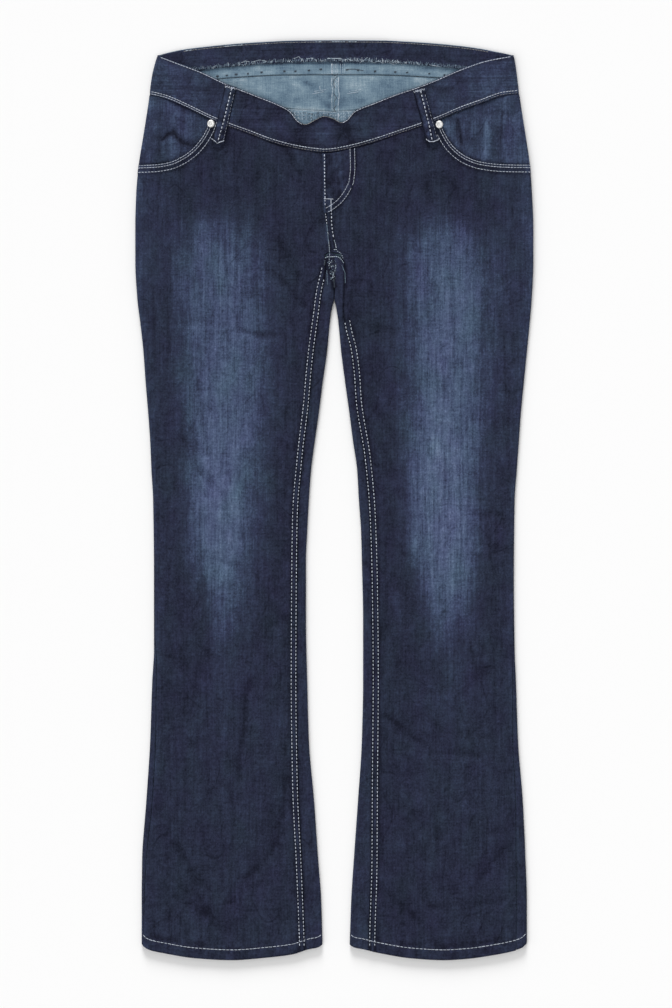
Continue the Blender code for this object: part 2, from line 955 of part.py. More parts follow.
def add_front_loop(side):
    ends = {"right": ((-122, 488.5), (-137, 421.5)), "left": ((99.5, 484.8), (116.5, 422.5))}
    start, end = (np.array(point) for point in ends[side])
    along = (end - start) / np.linalg.norm(end - start)
    aside = np.array([-along[1], along[0]])
    height = BAND / 2 + GAP + 0.15 + LOOP / 2

    def at(down, across):
        point = start + (end - start) * down + aside * LOOP_WIDTH * (across - 0.5)
        return on_front(*point, height)

    return add_patch("belt_loop_front_" + side, 6, 2, at, LOOP, ("denim", DENIM))


def add_back_loop(side):
    middle = {"right": -33.5, "left": 17.5}[side]
    top = back_top(middle)
    bottom = 484.5

    def at(down, across):
        return np.array(
            [middle + BACK_LOOP_WIDTH * (across - 0.5), top + (bottom - top) * down, BACK_LOOP / 2]
        )

    return add_patch("belt_loop_back_" + side, 2, 1, at, BACK_LOOP, ("denim", DENIM))


BACK_POCKET = {
    "middle": 112.0,
    "top": 438.0,
    "width": 140.0,
    "foot_width": 124.0,
    "side": 128.0,
    "point": 22.0,
}


def add_back_pocket(side):
    size = BACK_POCKET

    def at(down, across):
        half = (size["width"] + (size["foot_width"] - size["width"]) * down) / 2
        out = 2 * across - 1
        length = size["side"] + size["point"] * (1 - abs(out))
        x = SIDES[side] * size["middle"] + half * out
        return np.array([x, size["top"] - length * down, POCKET / 2])

    return add_patch("back_pocket_" + side, 3, 4, at, POCKET, ("denim", DENIM))


def add_rivet(side):
    """A domed cap, turned about its own axis and set on the corner of the pocket opening."""
    x, y = {"right": (-145.5, 444), "left": (124, 443)}[side]
    foot = upper_height(x, y) + CLOTH / 2 + GAP + 0.1
    profile = ((0, 0), (1, 0), (1, 0.35), (0.85, 0.7), (0.5, 0.92), (0, 1))
    shape = bmesh.new()
    points = [(r * RIVET_RADIUS * MM, 0, z * RIVET_HEIGHT * MM) for r, z in profile]
    corners = [shape.verts.new(point) for point in points]
    edges = [shape.edges.new(pair) for pair in zip(corners, corners[1:])]
    bmesh.ops.spin(
        shape,
        geom=corners + edges,
        cent=(0, 0, 0),
        axis=(0, 0, 1),
        angle=math.tau,
        steps=20,
        use_merge=True,
    )
    bmesh.ops.remove_doubles(shape, verts=shape.verts[:], dist=1e-6)
    made = add_object("rivet_" + side, shape, ("silver", SILVER, 0.3, 1.0))
    made.location = (x * MM, y * MM, foot * MM)


# ---------------------------------------------------------------- the whole pair
def main():
    for old in list(bpy.data.objects):
        bpy.data.objects.remove(old, do_unlink=True)
    garment = bpy.data.objects.new("jeans", None)
    bpy.context.scene.collection.objects.link(garment)
    add_waistbands()
    add_mock_fly()
    for side in SIDES:
        add_front_panel(side)
        add_pocket_facing(side)
        add_back_yoke(side)
        add_back_panel(side)
        add_front_loop(side)
        add_back_loop(side)
        add_back_pocket(side)
        add_rivet(side)


main()
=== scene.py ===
"""Bootcut jeans laid flat: the looks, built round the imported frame.

Every cloth piece is a thin shell on the form of its solid: a grid that is laid over the garment's
surface, given small creases and puckers, and thickened. Stitches are small separate threads laid
on the cloth. Sizes and tables are in millimetres, and "right" and "left" are the wearer's, with
the right at -X. The jeans lie on z = 0 with the waist towards +Y.
"""

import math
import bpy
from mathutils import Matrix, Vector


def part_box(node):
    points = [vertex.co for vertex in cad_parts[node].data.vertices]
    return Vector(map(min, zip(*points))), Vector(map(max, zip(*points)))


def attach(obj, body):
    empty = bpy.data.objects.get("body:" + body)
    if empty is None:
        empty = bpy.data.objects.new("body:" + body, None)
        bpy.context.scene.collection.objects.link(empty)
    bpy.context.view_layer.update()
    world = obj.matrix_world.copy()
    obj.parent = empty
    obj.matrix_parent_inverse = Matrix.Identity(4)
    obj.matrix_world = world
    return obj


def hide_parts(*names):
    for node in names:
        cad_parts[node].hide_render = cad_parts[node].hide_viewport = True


bl_info = {
    "name": "Bootcut jeans",
    "version": (1, 0, 0),
    "blender": (4, 5, 0),
    "location": "3D View > Sidebar > Jeans",
    "description": "Dresses the frame of a pair of bootcut jeans laid flat",
    "category": "Object",
}

import bmesh
import bpy
import numpy as np
from bpy.props import FloatProperty, FloatVectorProperty, PointerProperty
from mathutils import Matrix, Vector
from mathutils.bvhtree import BVHTree

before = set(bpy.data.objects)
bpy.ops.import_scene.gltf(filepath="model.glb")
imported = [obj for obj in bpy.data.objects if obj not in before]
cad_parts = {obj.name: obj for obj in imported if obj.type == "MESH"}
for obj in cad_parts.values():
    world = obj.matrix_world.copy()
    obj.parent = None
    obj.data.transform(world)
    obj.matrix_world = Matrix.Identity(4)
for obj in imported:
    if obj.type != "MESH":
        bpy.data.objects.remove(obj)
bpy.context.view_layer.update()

MM = 0.001
BODY = "root"

# ---------------------------------------------------------------- the garment's sizes
CLOTH = 1.5  # wall of one layer of denim
BAND = 2.4  # waistband: two layers and an interlining
FACING = 1.2  # pocket facing, a lighter layer
STRIP = 1.0  # turned-in strip inside the back waistband
FLY = 1.0  # mock fly
LOOP = 2.2  # front belt loop, folded in three
BACK_LOOP = 1.6
POCKET = 1.2  # back pocket

GAP = 0.3  # between pieces that meet at a seam
SIDE_GAP = GAP * 0.6  # from a side seam to the edge of either piece
FOLD = 2.4  # middle radius of the pressed folds
QUARTER = FOLD * math.pi / 2

LEG_HEIGHT = 4.6  # middle of the upper layer over the floor, at the legs
HIP_HEIGHT = 6.0  # and at the hips
LEG_UNDER = CLOTH / 2  # middle of the lower layer, at the legs
SEAT_UNDER = POCKET + GAP + CLOTH / 2  # raised by the back pockets
WAIST_UNDER = BAND / 2
LOOP_LIFT = BACK_LOOP + GAP  # the back waistband over its belt loops

CROTCH = 293.0  # level where the centre front seam meets the inseams
APEX = 235.5  # level where the legs part
LEG_FOOT = -498.0  # level where the hems' rows start
FRONT_SEWN_TO = {"right": 277, "left": 214}  # level to which the inseam's rows show on the front
SEAM_WIDTH = 7.0  # felled seam: a raised band this wide
SEAM_RISE = 0.5
ROW_NEAR, ROW_FAR = 1.0, 6.4  # its two rows of stitches, from the seam
POCKET_ROWS = (1.0, 3.8, 9.0)  # rows of stitches from a pocket's edge
HEM_DEPTH = 14.0
HEM_RISE = 0.7
BACK_HEM_SHORT = 3.0
LOOP_WIDTH = 14.0
FLY_ROWS = (1.2, 6.5)  # rows of stitches from the fly's edge
FLY_TOP, FLY_FOOT = 407.5, 338.2
LOOP_ROWS = (0.56, 0.92)  # rows of stitches across a belt loop
BACK_LOOP_WIDTH = 12.0
BACK_LOOP_MIDDLES = {"right": -33.5, "left": 17.5}
BACK_LOOP_FOOT = 484.5
THREAD_RISE = 0.6  # height of a thread against its width

SIDES = {"right": -1, "left": 1}

UNDER_LIFT = 0.3  # the shells underneath stay this far over the surface, and their threads reach down to it
BETWEEN_LAYERS = 3.0  # height that parts the upper layer from the lower one, at the legs
PANEL_FOOT, PANEL_TOP = 1000, 2000  # rungs of a panel over its leg, whose own rungs are levels
SETTLING_ROUNDS = 30
NOISE_CELLS = (97, 89)
ONE_STITCH = 9.0  # pitch of a path that is shorter than this and takes one stitch

# ---------------------------------------------------------------- tables of the cut
def table(names, *rows):
    """Named columns of a short table with one row for each section."""
    return dict(zip(names.split(), np.array(rows, float).T))


# Outer folds, a row for each level from the waist down.
OUTER = table(
    "level right left",
    (525, -209, 212), (501, -215, 215.5), (465, -220, 220.5), (430, -225.5, 226), (395, -231, 231),
    (360, -234, 233.5), (324, -235, 235), (282, -235, 235), (236, -232.5, 233), (212, -229.5, 231),
    (176, -225.5, 227.5), (141, -223, 224), (105, -220, 220.5), (70, -217.5, 218), (35, -216, 215.5),
    (0, -214, 213), (-90, -213, 212), (-177, -213, 213), (-213, -215, 214.5), (-284, -217.5, 217),
    (-354, -222, 222.5), (-425, -227, 226), (-472, -227.5, 227.5), (-545, -227.5, 227.5),
)

# Inner folds of the legs, from the point where they part down to the hems.
INNER = table(
    "level right left",
    (235.5, -0.15, 0.15), (228, -2.5, 2), (212, -5, 4.5), (176, -8.5, 8), (141, -13.5, 12.5),
    (105, -18, 17.5), (70, -23, 22), (35, -27.5, 27), (0, -30, 29), (-36, -32, 31.5), (-72, -33.5, 32.5),
    (-142, -33.5, 34), (-213, -32, 34), (-284, -30, 32.5), (-354, -24, 28), (-425, -19, 23),
    (-472, -15.5, 20), (-545, -13.5, 17.5),
)

# Inseams, which lie on the front because the wider back wraps round the inner folds.
INSEAM = table(
    "level right left",
    (286, -11, 8), (278, -10, 12.5), (262, -11.8, 12.2), (240, -15.5, 11.5), (220, -18, 11),
    (200, -20.8, 14), (180, -23.5, 19.2), (147, -27, 23.5), (117, -29.5, 25.5), (50, -37.3, 36),
    (-20, -42.8, 42), (-110, -44, 44.6), (-213, -44.4, 45.5), (-338, -42.7, 44.5), (-430, -38.3, 44),
    (-512, -35, 41.5), (-545, -34, 41),
)

# How far the side seams come round from the outer folds onto the front.
OUTSEAM = table(
    "level right left",
    (480, 0, 0), (0, 0, 0), (-140, 1.5, 1.5), (-225, 6, 5), (-350, 8, 9), (-470, 4, 13), (-545, 2, 13.5),
)

CENTRE_FRONT = table("level x", (414, -11), (338, -10.5), (306, -6.5), (293, -5))

# Lower edge of the front waistband. The panels have a corner at each row, so it runs straight between.
FRONT_SEAM = table(
    "x level",
    (-219, 478), (-200, 473.5), (-177, 464), (-147, 449.5), (-125, 440.5), (-100, 431.5), (-72, 421),
    (-42, 413.5), (-18, 410), (-11, 409.5), (-4, 410), (20, 414.5), (46, 421.5), (70, 429.5), (97, 438.5),
    (124, 448.5), (148, 459), (172, 467.5), (200, 477), (219, 479),
)

# Upper edge of the front waistband, with the two dips of its slack middle.
FRONT_TOP = table(
    "x level",
    (-209, 525), (-188, 517), (-158, 505.7), (-129, 492), (-93, 477.8), (-60, 464), (-52, 458.8),
    (-44, 448.6), (-34, 443.6), (-25, 447.6), (-12, 453), (-2, 450.8), (8, 446), (16, 450), (23, 458.5),
    (48, 469.2), (77, 480.5), (97, 487), (121, 496.4), (148, 508), (180, 519), (212, 525),
)

BACK_TOP = table(
    "x level",
    (-209, 525), (-182, 531.5), (-144, 536.3), (-97, 540.3), (-40, 542.7), (0, 543), (54, 542.8),
    (92, 541.2), (130, 538.3), (167, 534), (212, 525),
)

# Seams of the back, straight between their rows, as far from the middle on both sides.
BACK_SEAM = table("x level", (0, 502), (56, 501.8), (123, 498.4), (170, 491), (200, 483), (219, 478))
YOKE_SEAM = table("x level", (0, 458.5), (56, 462), (222, 456))
STRIP_EDGE = table("x level", (0, 517.5), (45, 517), (90, 514.5), (123, 511.5), (160, 508), (206, 503))

POCKET_EDGE = {
    "right": table(
        "x level",
        (-232, 395.5), (-212, 396.3), (-195, 399), (-181, 405), (-169, 413.5), (-159, 424.5), (-151.5, 437),
        (-147, 449.5),
    ),
    "left": table(
        "x level",
        (232, 396), (212, 396.2), (195, 396.8), (172, 399.8), (155.5, 406), (140, 418.5), (130, 434),
        (124, 448.5),
    ),
}

HEM = {
    "right": table(
        "x level",
        (-228, -521), (-224.5, -527.5), (-217, -531.5), (-201, -535), (-163, -541), (-121, -543.2),
        (-78, -540), (-50, -536.5), (-31, -530.5), (-19, -528), (-13, -523),
    ),
    "left": table(
        "x level",
        (17, -523), (23, -528), (35, -530.5), (54, -535), (91, -541), (129, -543.2), (158, -541.5),
        (186, -537.5), (209, -533), (221, -529), (228, -522),
    ),
}

# The largest folds: from one end to the other, the width of each and its height, a trough where negative.
CREASES = table(
    "x1 y1 x2 y2 width height",
    (-60, 417, -36, 380, 11, -0.8), (-68, 306, -40, 256, 12, -1.0), (-86, 277, -37, 230, 12, -0.9),
    (-178, 204, -66, 194, 9, -0.45), (-112, 192, -70, 193, 11, -0.35), (-180, 72, -148, 18, 13, -1.3),
    (-155, 48, -121, 2, 12, 0.9), (-150, -4, -122, -44, 12, 0.9), (-148, -72, -112, -82, 12, -1.0),
    (-160, -178, -134, -192, 13, -0.9), (-98, -219, -110, -332, 13, -1.2), (-56, -331, -70, -388, 12, -1.2),
    (-64, -397, -106, -450, 12, -1.0), (-190, -408, -155, -454, 12, -1.0),
    (-188, -469, -122, -508, 13, -1.2), (22, 236, 17, 205, 11, -0.8), (60, 200, 95, 186, 13, -0.7),
    (134, 28, 138, -2, 13, -0.9), (170, -20, 200, -22, 11, -0.7), (72, -118, 82, -156, 11, 0.8),
    (60, -258, 92, -282, 12, -0.8), (112, -260, 132, -282, 12, -0.6), (140, -298, 172, -306, 11, -0.8),
    (200, -415, 170, -452, 13, -1.1), (62, -466, 104, -504, 12, -1.1), (160, -486, 196, -472, 12, -0.8),
)

# Slack ripples of the front waistband's middle.
RIPPLES = table(
    "x1 y1 x2 y2 width height",
    (-36, 452, -40, 420, 10, -1.1), (-12, 460, -10, 424, 11, 0.9), (8, 452, 16, 424, 10, -1.1),
)

# Finer creases, seen in the photograph.
FINE_CREASES = table(
    "x1 y1 x2 y2 width height",
    (-61, 418, -38, 384, 4, -0.5), (-68, 307, -40, 260, 4.5, -0.55), (-83, 276, -55, 256, 4, -0.5),
    (-55, 256, -37, 230, 4, -0.5), (-172, 203, -120, 199, 3.5, 0.3), (-125, 198, -62, 193, 3, -0.45),
    (-111, 195, -74, 194, 3.5, -0.4), (-108, 242, -88, 241, 3.5, -0.35), (-179, 71, -158, 30, 4.5, -0.55),
    (-158, 30, -149, 19, 4, -0.5), (-153, 47, -123, 4, 5, 0.45), (-150, -2, -125, -38, 5, 0.45),
    (-144, -71, -116, -79, 4, -0.5), (-158, -177, -135, -191, 4.5, -0.5), (-58, -142, -85, -151, 4, -0.4),
    (-101, -218, -108, -289, 4.5, -0.55), (-108, -289, -111, -330, 4, -0.5),
    (-56, -330, -61, -372, 4.5, -0.5), (-61, -372, -70, -387, 4, -0.5), (-64, -396, -90, -437, 4.5, -0.5),
    (-90, -437, -104, -448, 4, -0.45), (-85, -451, -102, -460, 3.5, -0.4),
    (-187, -407, -158, -451, 4.5, -0.5), (-182, -455, -158, -470, 3.5, -0.4),
    (-188, -468, -153, -490, 4, -0.5), (-153, -490, -125, -510, 4.5, -0.5),
    (-223, -493, -212, -507, 4, -0.4), (107, 378, 106, 307, 6, -0.3), (54, 203, 67, 197, 5, -0.35),
    (116, 203, 139, 191, 5, -0.35), (134, 30, 139, 0, 4, -0.45), (139, 0, 137, -71, 4.5, -0.35),
    (172, -18, 196, -19, 4, -0.35), (172, -53, 193, -57, 4, -0.35), (68, -88, 78, -94, 4, -0.35),
    (72, -118, 80, -153, 5, 0.45), (60, -257, 107, -289, 4.5, -0.5), (114, -261, 126, -275, 3.5, -0.3),
    (116, -296, 139, -299, 3.5, -0.35), (139, -297, 170, -304, 4, -0.4), (103, -201, 111, -230, 4.5, -0.35),
    (201, -413, 172, -448, 4.5, -0.5), (131, -478, 113, -481, 4, -0.4), (160, -486, 196, -472, 4, -0.45),
    (66, -466, 101, -501, 4.5, -0.5), (125, -464, 142, -460, 4, -0.35), (21, 348, 33, 325, 5, -0.3),
    (56, 401, 73, 366, 6, -0.3), (-85, 401, -99, 360, 6, -0.3), (-122, 413, -128, 375, 6, 0.3),
)

FACING_CREASES = table(
    "x1 y1 x2 y2 width height",
    (-203, 426, -190, 434, 3.2, -0.9), (-190, 434, -182, 425, 3.0, -0.9), (-182, 425, -167, 420, 3.0, -0.8),
    (-212, 440, -184, 452, 9, 0.5), (143, 449, 149, 421, 3.5, -0.8), (181, 450, 180, 408, 3.5, 0.7),
    (196, 462, 192, 410, 5, -0.5),
)

# Sharp lines along the facings' creases, painted shade where negative and a painted highlight where positive,
# in the units of the wear and shade tone.
FACING_LINES = table(
    "x1 y1 x2 y2 width height",
    (-203, 425, -196, 432.5, 1.3, -2.2), (-196, 432.5, -189, 433.5, 1.3, -2.4),
    (-189, 433.5, -184, 425.5, 1.4, -3.0), (-184, 425.5, -169, 418, 1.6, -2.6),
    (-181, 421, -172, 416, 2.6, -1.6), (-207, 430, -206.5, 405, 1.5, -1.2),
    (-188, 452, -176, 446, 1.4, -1.4), (146, 449, 151, 420, 1.5, -2.0), (160, 446, 158, 425, 1.6, -1.2),
    (179, 452, 183, 418, 1.4, 1.2), (199, 458, 196, 414, 1.6, -1.6),
)

FLY_CREASES = table(
    "x1 y1 x2 y2 width height",
    (-6, 405, -4, 372, 3.2, -0.5), (4, 400, 9, 372, 4, 0.4), (13, 404, 12, 378, 3, -0.4),
    (-2, 362, 8, 372, 3.5, -0.4),
)

# Worn ovals down the thighs: the middle on each leg, half the width, and how far the dye is gone.
FADE = table(
    "level right_middle left_middle width right left",
    (362, -134, 132, 36, 0, 0), (340, -134, 132, 40, 0.10, 0.10), (318, -134, 132, 48, 0.36, 0.42),
    (285, -133, 132, 54, 0.55, 0.60), (240, -132, 132, 54, 0.61, 0.66), (120, -132, 131, 52, 0.63, 0.70),
    (50, -134, 132, 47, 0.68, 0.79), (-60, -134, 133, 42, 0.71, 0.78), (-100, -130, 135, 34, 0.60, 0.68),
    (-140, -122, 137, 28, 0.36, 0.40), (-185, -120, 137, 28, 0.15, 0.14), (-260, -122, 136, 42, 0.08, 0.07),
    (-400, -122, 136, 60, 0.03, 0.03), (-545, -122, 136, 60, 0, 0),
)

# Patches of the fronts that are a little lighter than the rest.
LIGHTER = table(
    "x level width height share",
    (-68, 165, 26, 75, 0.055), (208, 165, 26, 95, 0.11), (-192, 165, 24, 80, 0.02),
    (-200, -305, 24, 60, 0.035), (190, -305, 24, 90, 0.015),
)

# Upper edge of the crotch, where both backs meet both fronts.
CROTCH_EDGE = table("x level", (-11, 286), (-5, 293), (8, 286), (12.5, 278))

FLY_EDGE = table("level x", (416, 25), (394, 25.5), (376, 24), (363, 18.5), (350, 9), (342, -1), (338, -8))

# Ends of the front belt loops' middle lines.
LOOP_ENDS = {"right": ((-122, 488.5), (-137, 421.5)), "left": ((99.5, 484.8), (116.5, 422.5))}

BACK_POCKET = {
    "middle": 112.0,
    "top": 438.0,
    "width": 140.0,
    "foot_width": 124.0,
    "side": 128.0,
    "point": 22.0,
}

# Where the waistband's needle marks show inside, and the dark twisted threads of the seat seam.
NEEDLE_MARKS = (-138, -127, -116, -102, -86, -59, -46, -30, -16, 15, 28, 48, 72, 86, 112, 130)
SEAT_TWISTS = (
    ((-3.5, 503), (1, 501), (4.5, 503.5)),
    ((3.6, 500), (-0.5, 496), (-1.4, 491), (0.6, 487)),
    ((-0.6, 480), (2.6, 475), (0.2, 471)),
    ((2.4, 466), (-0.6, 462), (1.5, 459)),
)

# How much of the fray inside the waist is white: (up to where, share).
FRAY = (
    (-118, 0.10), (-88, 0.25), (-60, 0.08), (-50, 0.50), (-40, 0.08), (-10, 0.35), (6, 0.10), (23, 0.50),
    (41, 0.25), (58, 0.45), (74, 0.70), (86, 0.40), (200, 0.04),
)

# Loose threads inside the waist.
LOOSE_THREADS = (
    ((-110, 516), (-105, 518.4), (-100, 517.2)),
    ((-98, 517), (-88, 519.6), (-80, 518), (-84, 516.4)),
    ((-48, 521), (-42, 523.2), (-38, 519)),
    ((-33, 520.6), (-27, 521.6), (-21, 519.6)),
    ((-8.6, 521), (5.6, 521.3)),
    ((10, 519), (16, 520.4), (22, 518.6)),
    ((27, 519), (31, 516.5), (39.5, 522.4)),
    ((41, 518.6), (47, 516.2), (52, 518.2), (58, 515.4)),
    ((64, 516.6), (70, 514.2), (77, 517.4), (80, 513.6)),
    ((98, 516.8), (100.4, 513.4)),
    ((112, 514), (126, 511.4)),
)

# Wear and painted shade about the crotch, in the units of the wear and shade tone.
CROTCH_SHADE = table(
    "x1 y1 x2 y2 width height",
    (-9.6, 326, -7.4, 305, 2.2, 1.8), (-7, 285, -3.5, 270, 4.0, -1.6), (-3, 270, -1.5, 262, 4.0, -1.6),
    (-1.0, 258, 0.4, 252, 2.6, -3.5), (-13, 282, -10, 272, 3.0, -1.4), (5, 272, 9, 252, 4.0, 0.9),
    (14.5, 276, 14.5, 250, 1.6, -1.4), (18, 274, 18, 250, 3.0, 0.7), (0, 291, 1, 287, 2.2, 1.5),
)

# Soft creases of the yokes' inside.
YOKE_CREASES = table(
    "x1 y1 x2 y2 width height",
    (-44, 498, -33, 493, 2.6, -0.5), (-33, 493, -25, 487, 2.6, -0.5), (-22, 476, -7, 467, 3.0, -0.5),
    (-46, 490, -36, 484, 4, 0.35), (-60, 474, -40, 470, 5, -0.3), (14, 492, 26, 489, 4, 0.35),
    (14, 474, 34, 470, 4, -0.35),
)


# ---------------------------------------------------------------- curves
def knots_of(values, column, key):
    """A table's column in the order of its key."""
    order = np.argsort(values[key])
    return values[key][order], values[column][order]


def line(values, column, key="level"):
    """A broken line through a table's rows."""
    knots, heights = knots_of(values, column, key)
    return lambda at: np.interp(at, knots, heights)


def curve(values, column, key="level"):
    """A smooth curve through a table's rows that doesn't swing past them."""
    knots, heights = knots_of(values, column, key)
    rise = np.diff(heights) / np.diff(knots)
    slope = np.concatenate([rise[:1], np.zeros(len(knots) - 2), rise[-1:]])
    for k in range(1, len(knots) - 1):
        if rise[k - 1] * rise[k] > 0:
            slope[k] = 2 * rise[k - 1] * rise[k] / (rise[k - 1] + rise[k])

    def value(at):
        at = np.clip(at, knots[0], knots[-1])
        k = np.clip(np.searchsorted(knots, at, side="right") - 1, 0, len(knots) - 2)
        width = knots[k + 1] - knots[k]
        t = (at - knots[k]) / width
        start = heights[k] * (1 + 2 * t) + slope[k] * width * t
        end = heights[k + 1] * (3 - 2 * t) + slope[k + 1] * width * (t - 1)
        return start * (1 - t) ** 2 + end * t**2

    return value


def both_sides(half):
    """A curve that is the same on both sides of the middle."""
    return lambda x: half(np.abs(x))


def step(value, start, end):
    """0 before start, 1 after end, and a soft rise between them."""
    t = np.clip((value - start) / (end - start), 0.0, 1.0)
    return t * t * (3 - 2 * t)


def bump_at(distance, width):
    """1 at no distance, falling softly to 0 a few widths away."""
    return np.exp(-((distance / width) ** 2))


def wander(x, y, size_x, size_y, seed):
    """Smooth uneven values from -1 to 1 whose patches are size_x by size_y."""
    heights = np.random.default_rng(seed).uniform(-1, 1, NOISE_CELLS)
    across, along = x / size_x + 1000, y / size_y + 1000
    i, j = np.floor(across).astype(int), np.floor(along).astype(int)
    u, v = step(across - i, 0, 1), step(along - j, 0, 1)

    def corner(a, b):
        return heights[(i + a) % NOISE_CELLS[0], (j + b) % NOISE_CELLS[1]]

    low = corner(0, 0) * (1 - u) + corner(1, 0) * u
    high = corner(0, 1) * (1 - u) + corner(1, 1) * u
    return low * (1 - v) + high * v


outer_edge = {side: curve(OUTER, side) for side in SIDES}
inner_edge = {side: curve(INNER, side) for side in SIDES}
inseam = {side: curve(INSEAM, side) for side in SIDES}
outseam = {side: curve(OUTSEAM, side) for side in SIDES}
hem = {side: curve(HEM[side], "level", "x") for side in SIDES}
pocket_edge = {side: curve(POCKET_EDGE[side], "level", "x") for side in SIDES}
centre_front = curve(CENTRE_FRONT, "x")
front_seam = curve(FRONT_SEAM, "level", "x")
front_top = curve(FRONT_TOP, "level", "x")
back_top = curve(BACK_TOP, "level", "x")
back_seam = both_sides(curve(BACK_SEAM, "level", "x"))
yoke_seam = both_sides(line(YOKE_SEAM, "level", "x"))
strip_edge = both_sides(curve(STRIP_EDGE, "level", "x"))
fly_edge = curve(FLY_EDGE, "x")
crotch_edge = line(CROTCH_EDGE, "level", "x")
fade_middle = {side: line(FADE, side + "_middle") for side in SIDES}
fade_width = line(FADE, "width")
fade_depth = {side: line(FADE, side) for side in SIDES}


# ---------------------------------------------------------------- creases
def segment_distance(x, y, x1, y1, x2, y2):
    along = np.array([x2 - x1, y2 - y1])
    share = ((x - x1) * along[0] + (y - y1) * along[1]) / (along @ along)
    share = np.clip(share, 0, 1)
    return np.hypot(x - x1 - share * along[0], y - y1 - share * along[1])


def path_distance(x, y, path):
    """Distance to a path of points."""
    path = np.array(path, float)
    nearest = np.full(np.shape(x), 1e9)
    for (x1, y1), (x2, y2) in zip(path, path[1:]):
        nearest = np.minimum(nearest, segment_distance(x, y, x1, y1, x2, y2))
    return nearest


def lines(*rows):
    """Sum of soft lines, each an amount, the distance to its middle and its width."""
    return sum(amount * bump_at(distance, width) for amount, distance, width in rows)


def folds_at(folds, x, y):
    """Height that a table of folds adds at each point."""
    total = np.zeros(np.shape(x))
    for x1, y1, x2, y2, width, height in zip(*folds.values()):
        total = total + height * bump_at(segment_distance(x, y, x1, y1, x2, y2), width)
    return total


def bent(x, y):
    """Points shifted a little unevenly, so that a straight crease bends."""
    return x + 2.5 * wander(x, y, 24, 24, 3), y + 2.5 * wander(x, y, 21, 27, 4)


def small_creases(x, y):
    """The finer creases and the slow waves between them."""
    u, v = bent(x, y)
    waves = 0.26 * wander(x, y, 30, 46, 5) + 0.16 * wander(x, y, 11, 17, 6)
    return 1.25 * folds_at(FINE_CREASES, u, v) + waves


def upper_height(x, y):
    base = LEG_HEIGHT + (HIP_HEIGHT - LEG_HEIGHT) * step(y, 190, 300)
    u, v = bent(x, y)
    return base + folds_at(CREASES, u, v)


def waist_under(x):
    """The back waistband is lifted in the middle by the belt loops under it."""
    return WAIST_UNDER + LOOP_LIFT * step(x, -92, -60) * (1 - step(x, 44, 76))


def under_height(x, y):
    leg = LEG_UNDER + (SEAT_UNDER - LEG_UNDER) * step(y, 225, 268)
    return leg + (waist_under(x) - leg) * step(y, 452, 482)


# ---------------------------------------------------------------- the cloth's middle surface
def fold_shape(side, fold, y, wall):
    """Middle line of a fold: its edge, the way inward, its radius, and how far it has opened out."""
    sign = SIDES[side]
    if fold == "outer":
        return outer_edge[side](y) - sign * wall / 2, -sign, FOLD + 0 * y, 0 * y
    opened = step(y, APEX, CROTCH + 0.5)
    parted = inner_edge[side](y) + sign * wall / 2
    joined = sign * (GAP / 2 + (1 - opened) * wall / 2)
    return np.where(y <= APEX, parted, joined), sign, FOLD + 1.95 * opened, opened


def fold_start(side, fold, y, wall=CLOTH):
    """Where a fold passes into the flat layer."""
    edge, inward, radius, _ = fold_shape(side, fold, y, wall)
    return edge + inward * radius


def sideways(side, fold, along, y, wall=CLOTH):
    """x of the point that is so far along from a fold: along is above 0 on top and below 0 underneath."""
    edge, inward, radius, opened = fold_shape(side, fold, y, wall)
    far = np.abs(along)
    share = np.minimum(far / QUARTER, 1)
    flat = np.minimum(opened / 0.35, 1)
    turned = (1 - flat) * (1 - np.cos(share * math.pi / 2)) + flat * share
    return edge + inward * (radius * turned + np.maximum(far - QUARTER, 0))


def skin(side, fold, along, y, wall=CLOTH):
    """Point of the cloth's middle that is so far along from a fold."""
    _, _, _, opened = fold_shape(side, fold, y, wall)
    x = sideways(side, fold, along, y, wall)
    at = np.where(np.abs(along) > QUARTER, x, fold_start(side, fold, y, wall))
    over = upper_height(at, y)
    under = under_height(at, y)
    level = np.where(along > 0, over, under)
    turned = np.minimum(np.abs(along) / QUARTER, 1) * math.pi / 2
    sunk = ((over + under) / 2 - level) * (1 - opened) * (1 - np.sin(turned))
    return np.stack([x, y, level + sunk], -1)


def outward(side, fold, along, y, wall=CLOTH):
    """Outward direction of the cloth there."""
    near = 0.03
    across = skin(side, fold, along + near, y, wall) - skin(side, fold, along - near, y, wall)
    down = skin(side, fold, along, y + near, wall) - skin(side, fold, along, y - near, wall)
    out = np.cross(across, down) * (1 if fold == "inner" else -1) * SIDES[side]
    return out / np.linalg.norm(out, axis=-1, keepdims=True)


def over_skin(side, fold, along, y, wall, raised):
    """Outer face of the cloth: half its wall out from the middle, and what is raised on it."""
    out = wall / 2 + np.asarray(raised)[..., None]
    return skin(side, fold, along, y, wall) + outward(side, fold, along, y, wall) * out


# ---------------------------------------------------------------- laying a grid over the surface
def ladder(*flights):
    """Rungs from flights of (start, end, count): even in each flight, with shared ends kept once."""
    rungs = [np.linspace(start, end, count + 1) for start, end, count in flights]
    return np.concatenate([rungs[0], *(flight[1:] for flight in rungs[1:])])


def settle(spot, level, shape, start):
    """x, distance along and level of corners. A spot (the first two) depends on its level, and the
    level on its spot, so both are found by going round."""
    y = np.full(shape, start)
    for _ in range(SETTLING_ROUNDS):
        y = level(*spot(y))
    return *spot(y), y


def outer_spot(side, along_at, wall=CLOTH):
    """A function from levels to x and the distance along from an outer fold."""

    def spot(y):
        along = along_at(y)
        return sideways(side, "outer", along, y, wall), along

    return spot


def read(items, key):
    """A vector of every corner or face of a mesh."""
    found = np.empty(len(items) * 3)
    items.foreach_get(key, found)
    return found.reshape(-1, 3)


def mesh_from(shape, name):
    """The mesh of a bmesh, which is freed."""
    mesh = bpy.data.meshes.new(name)
    shape.to_mesh(mesh)
    shape.free()
    return mesh


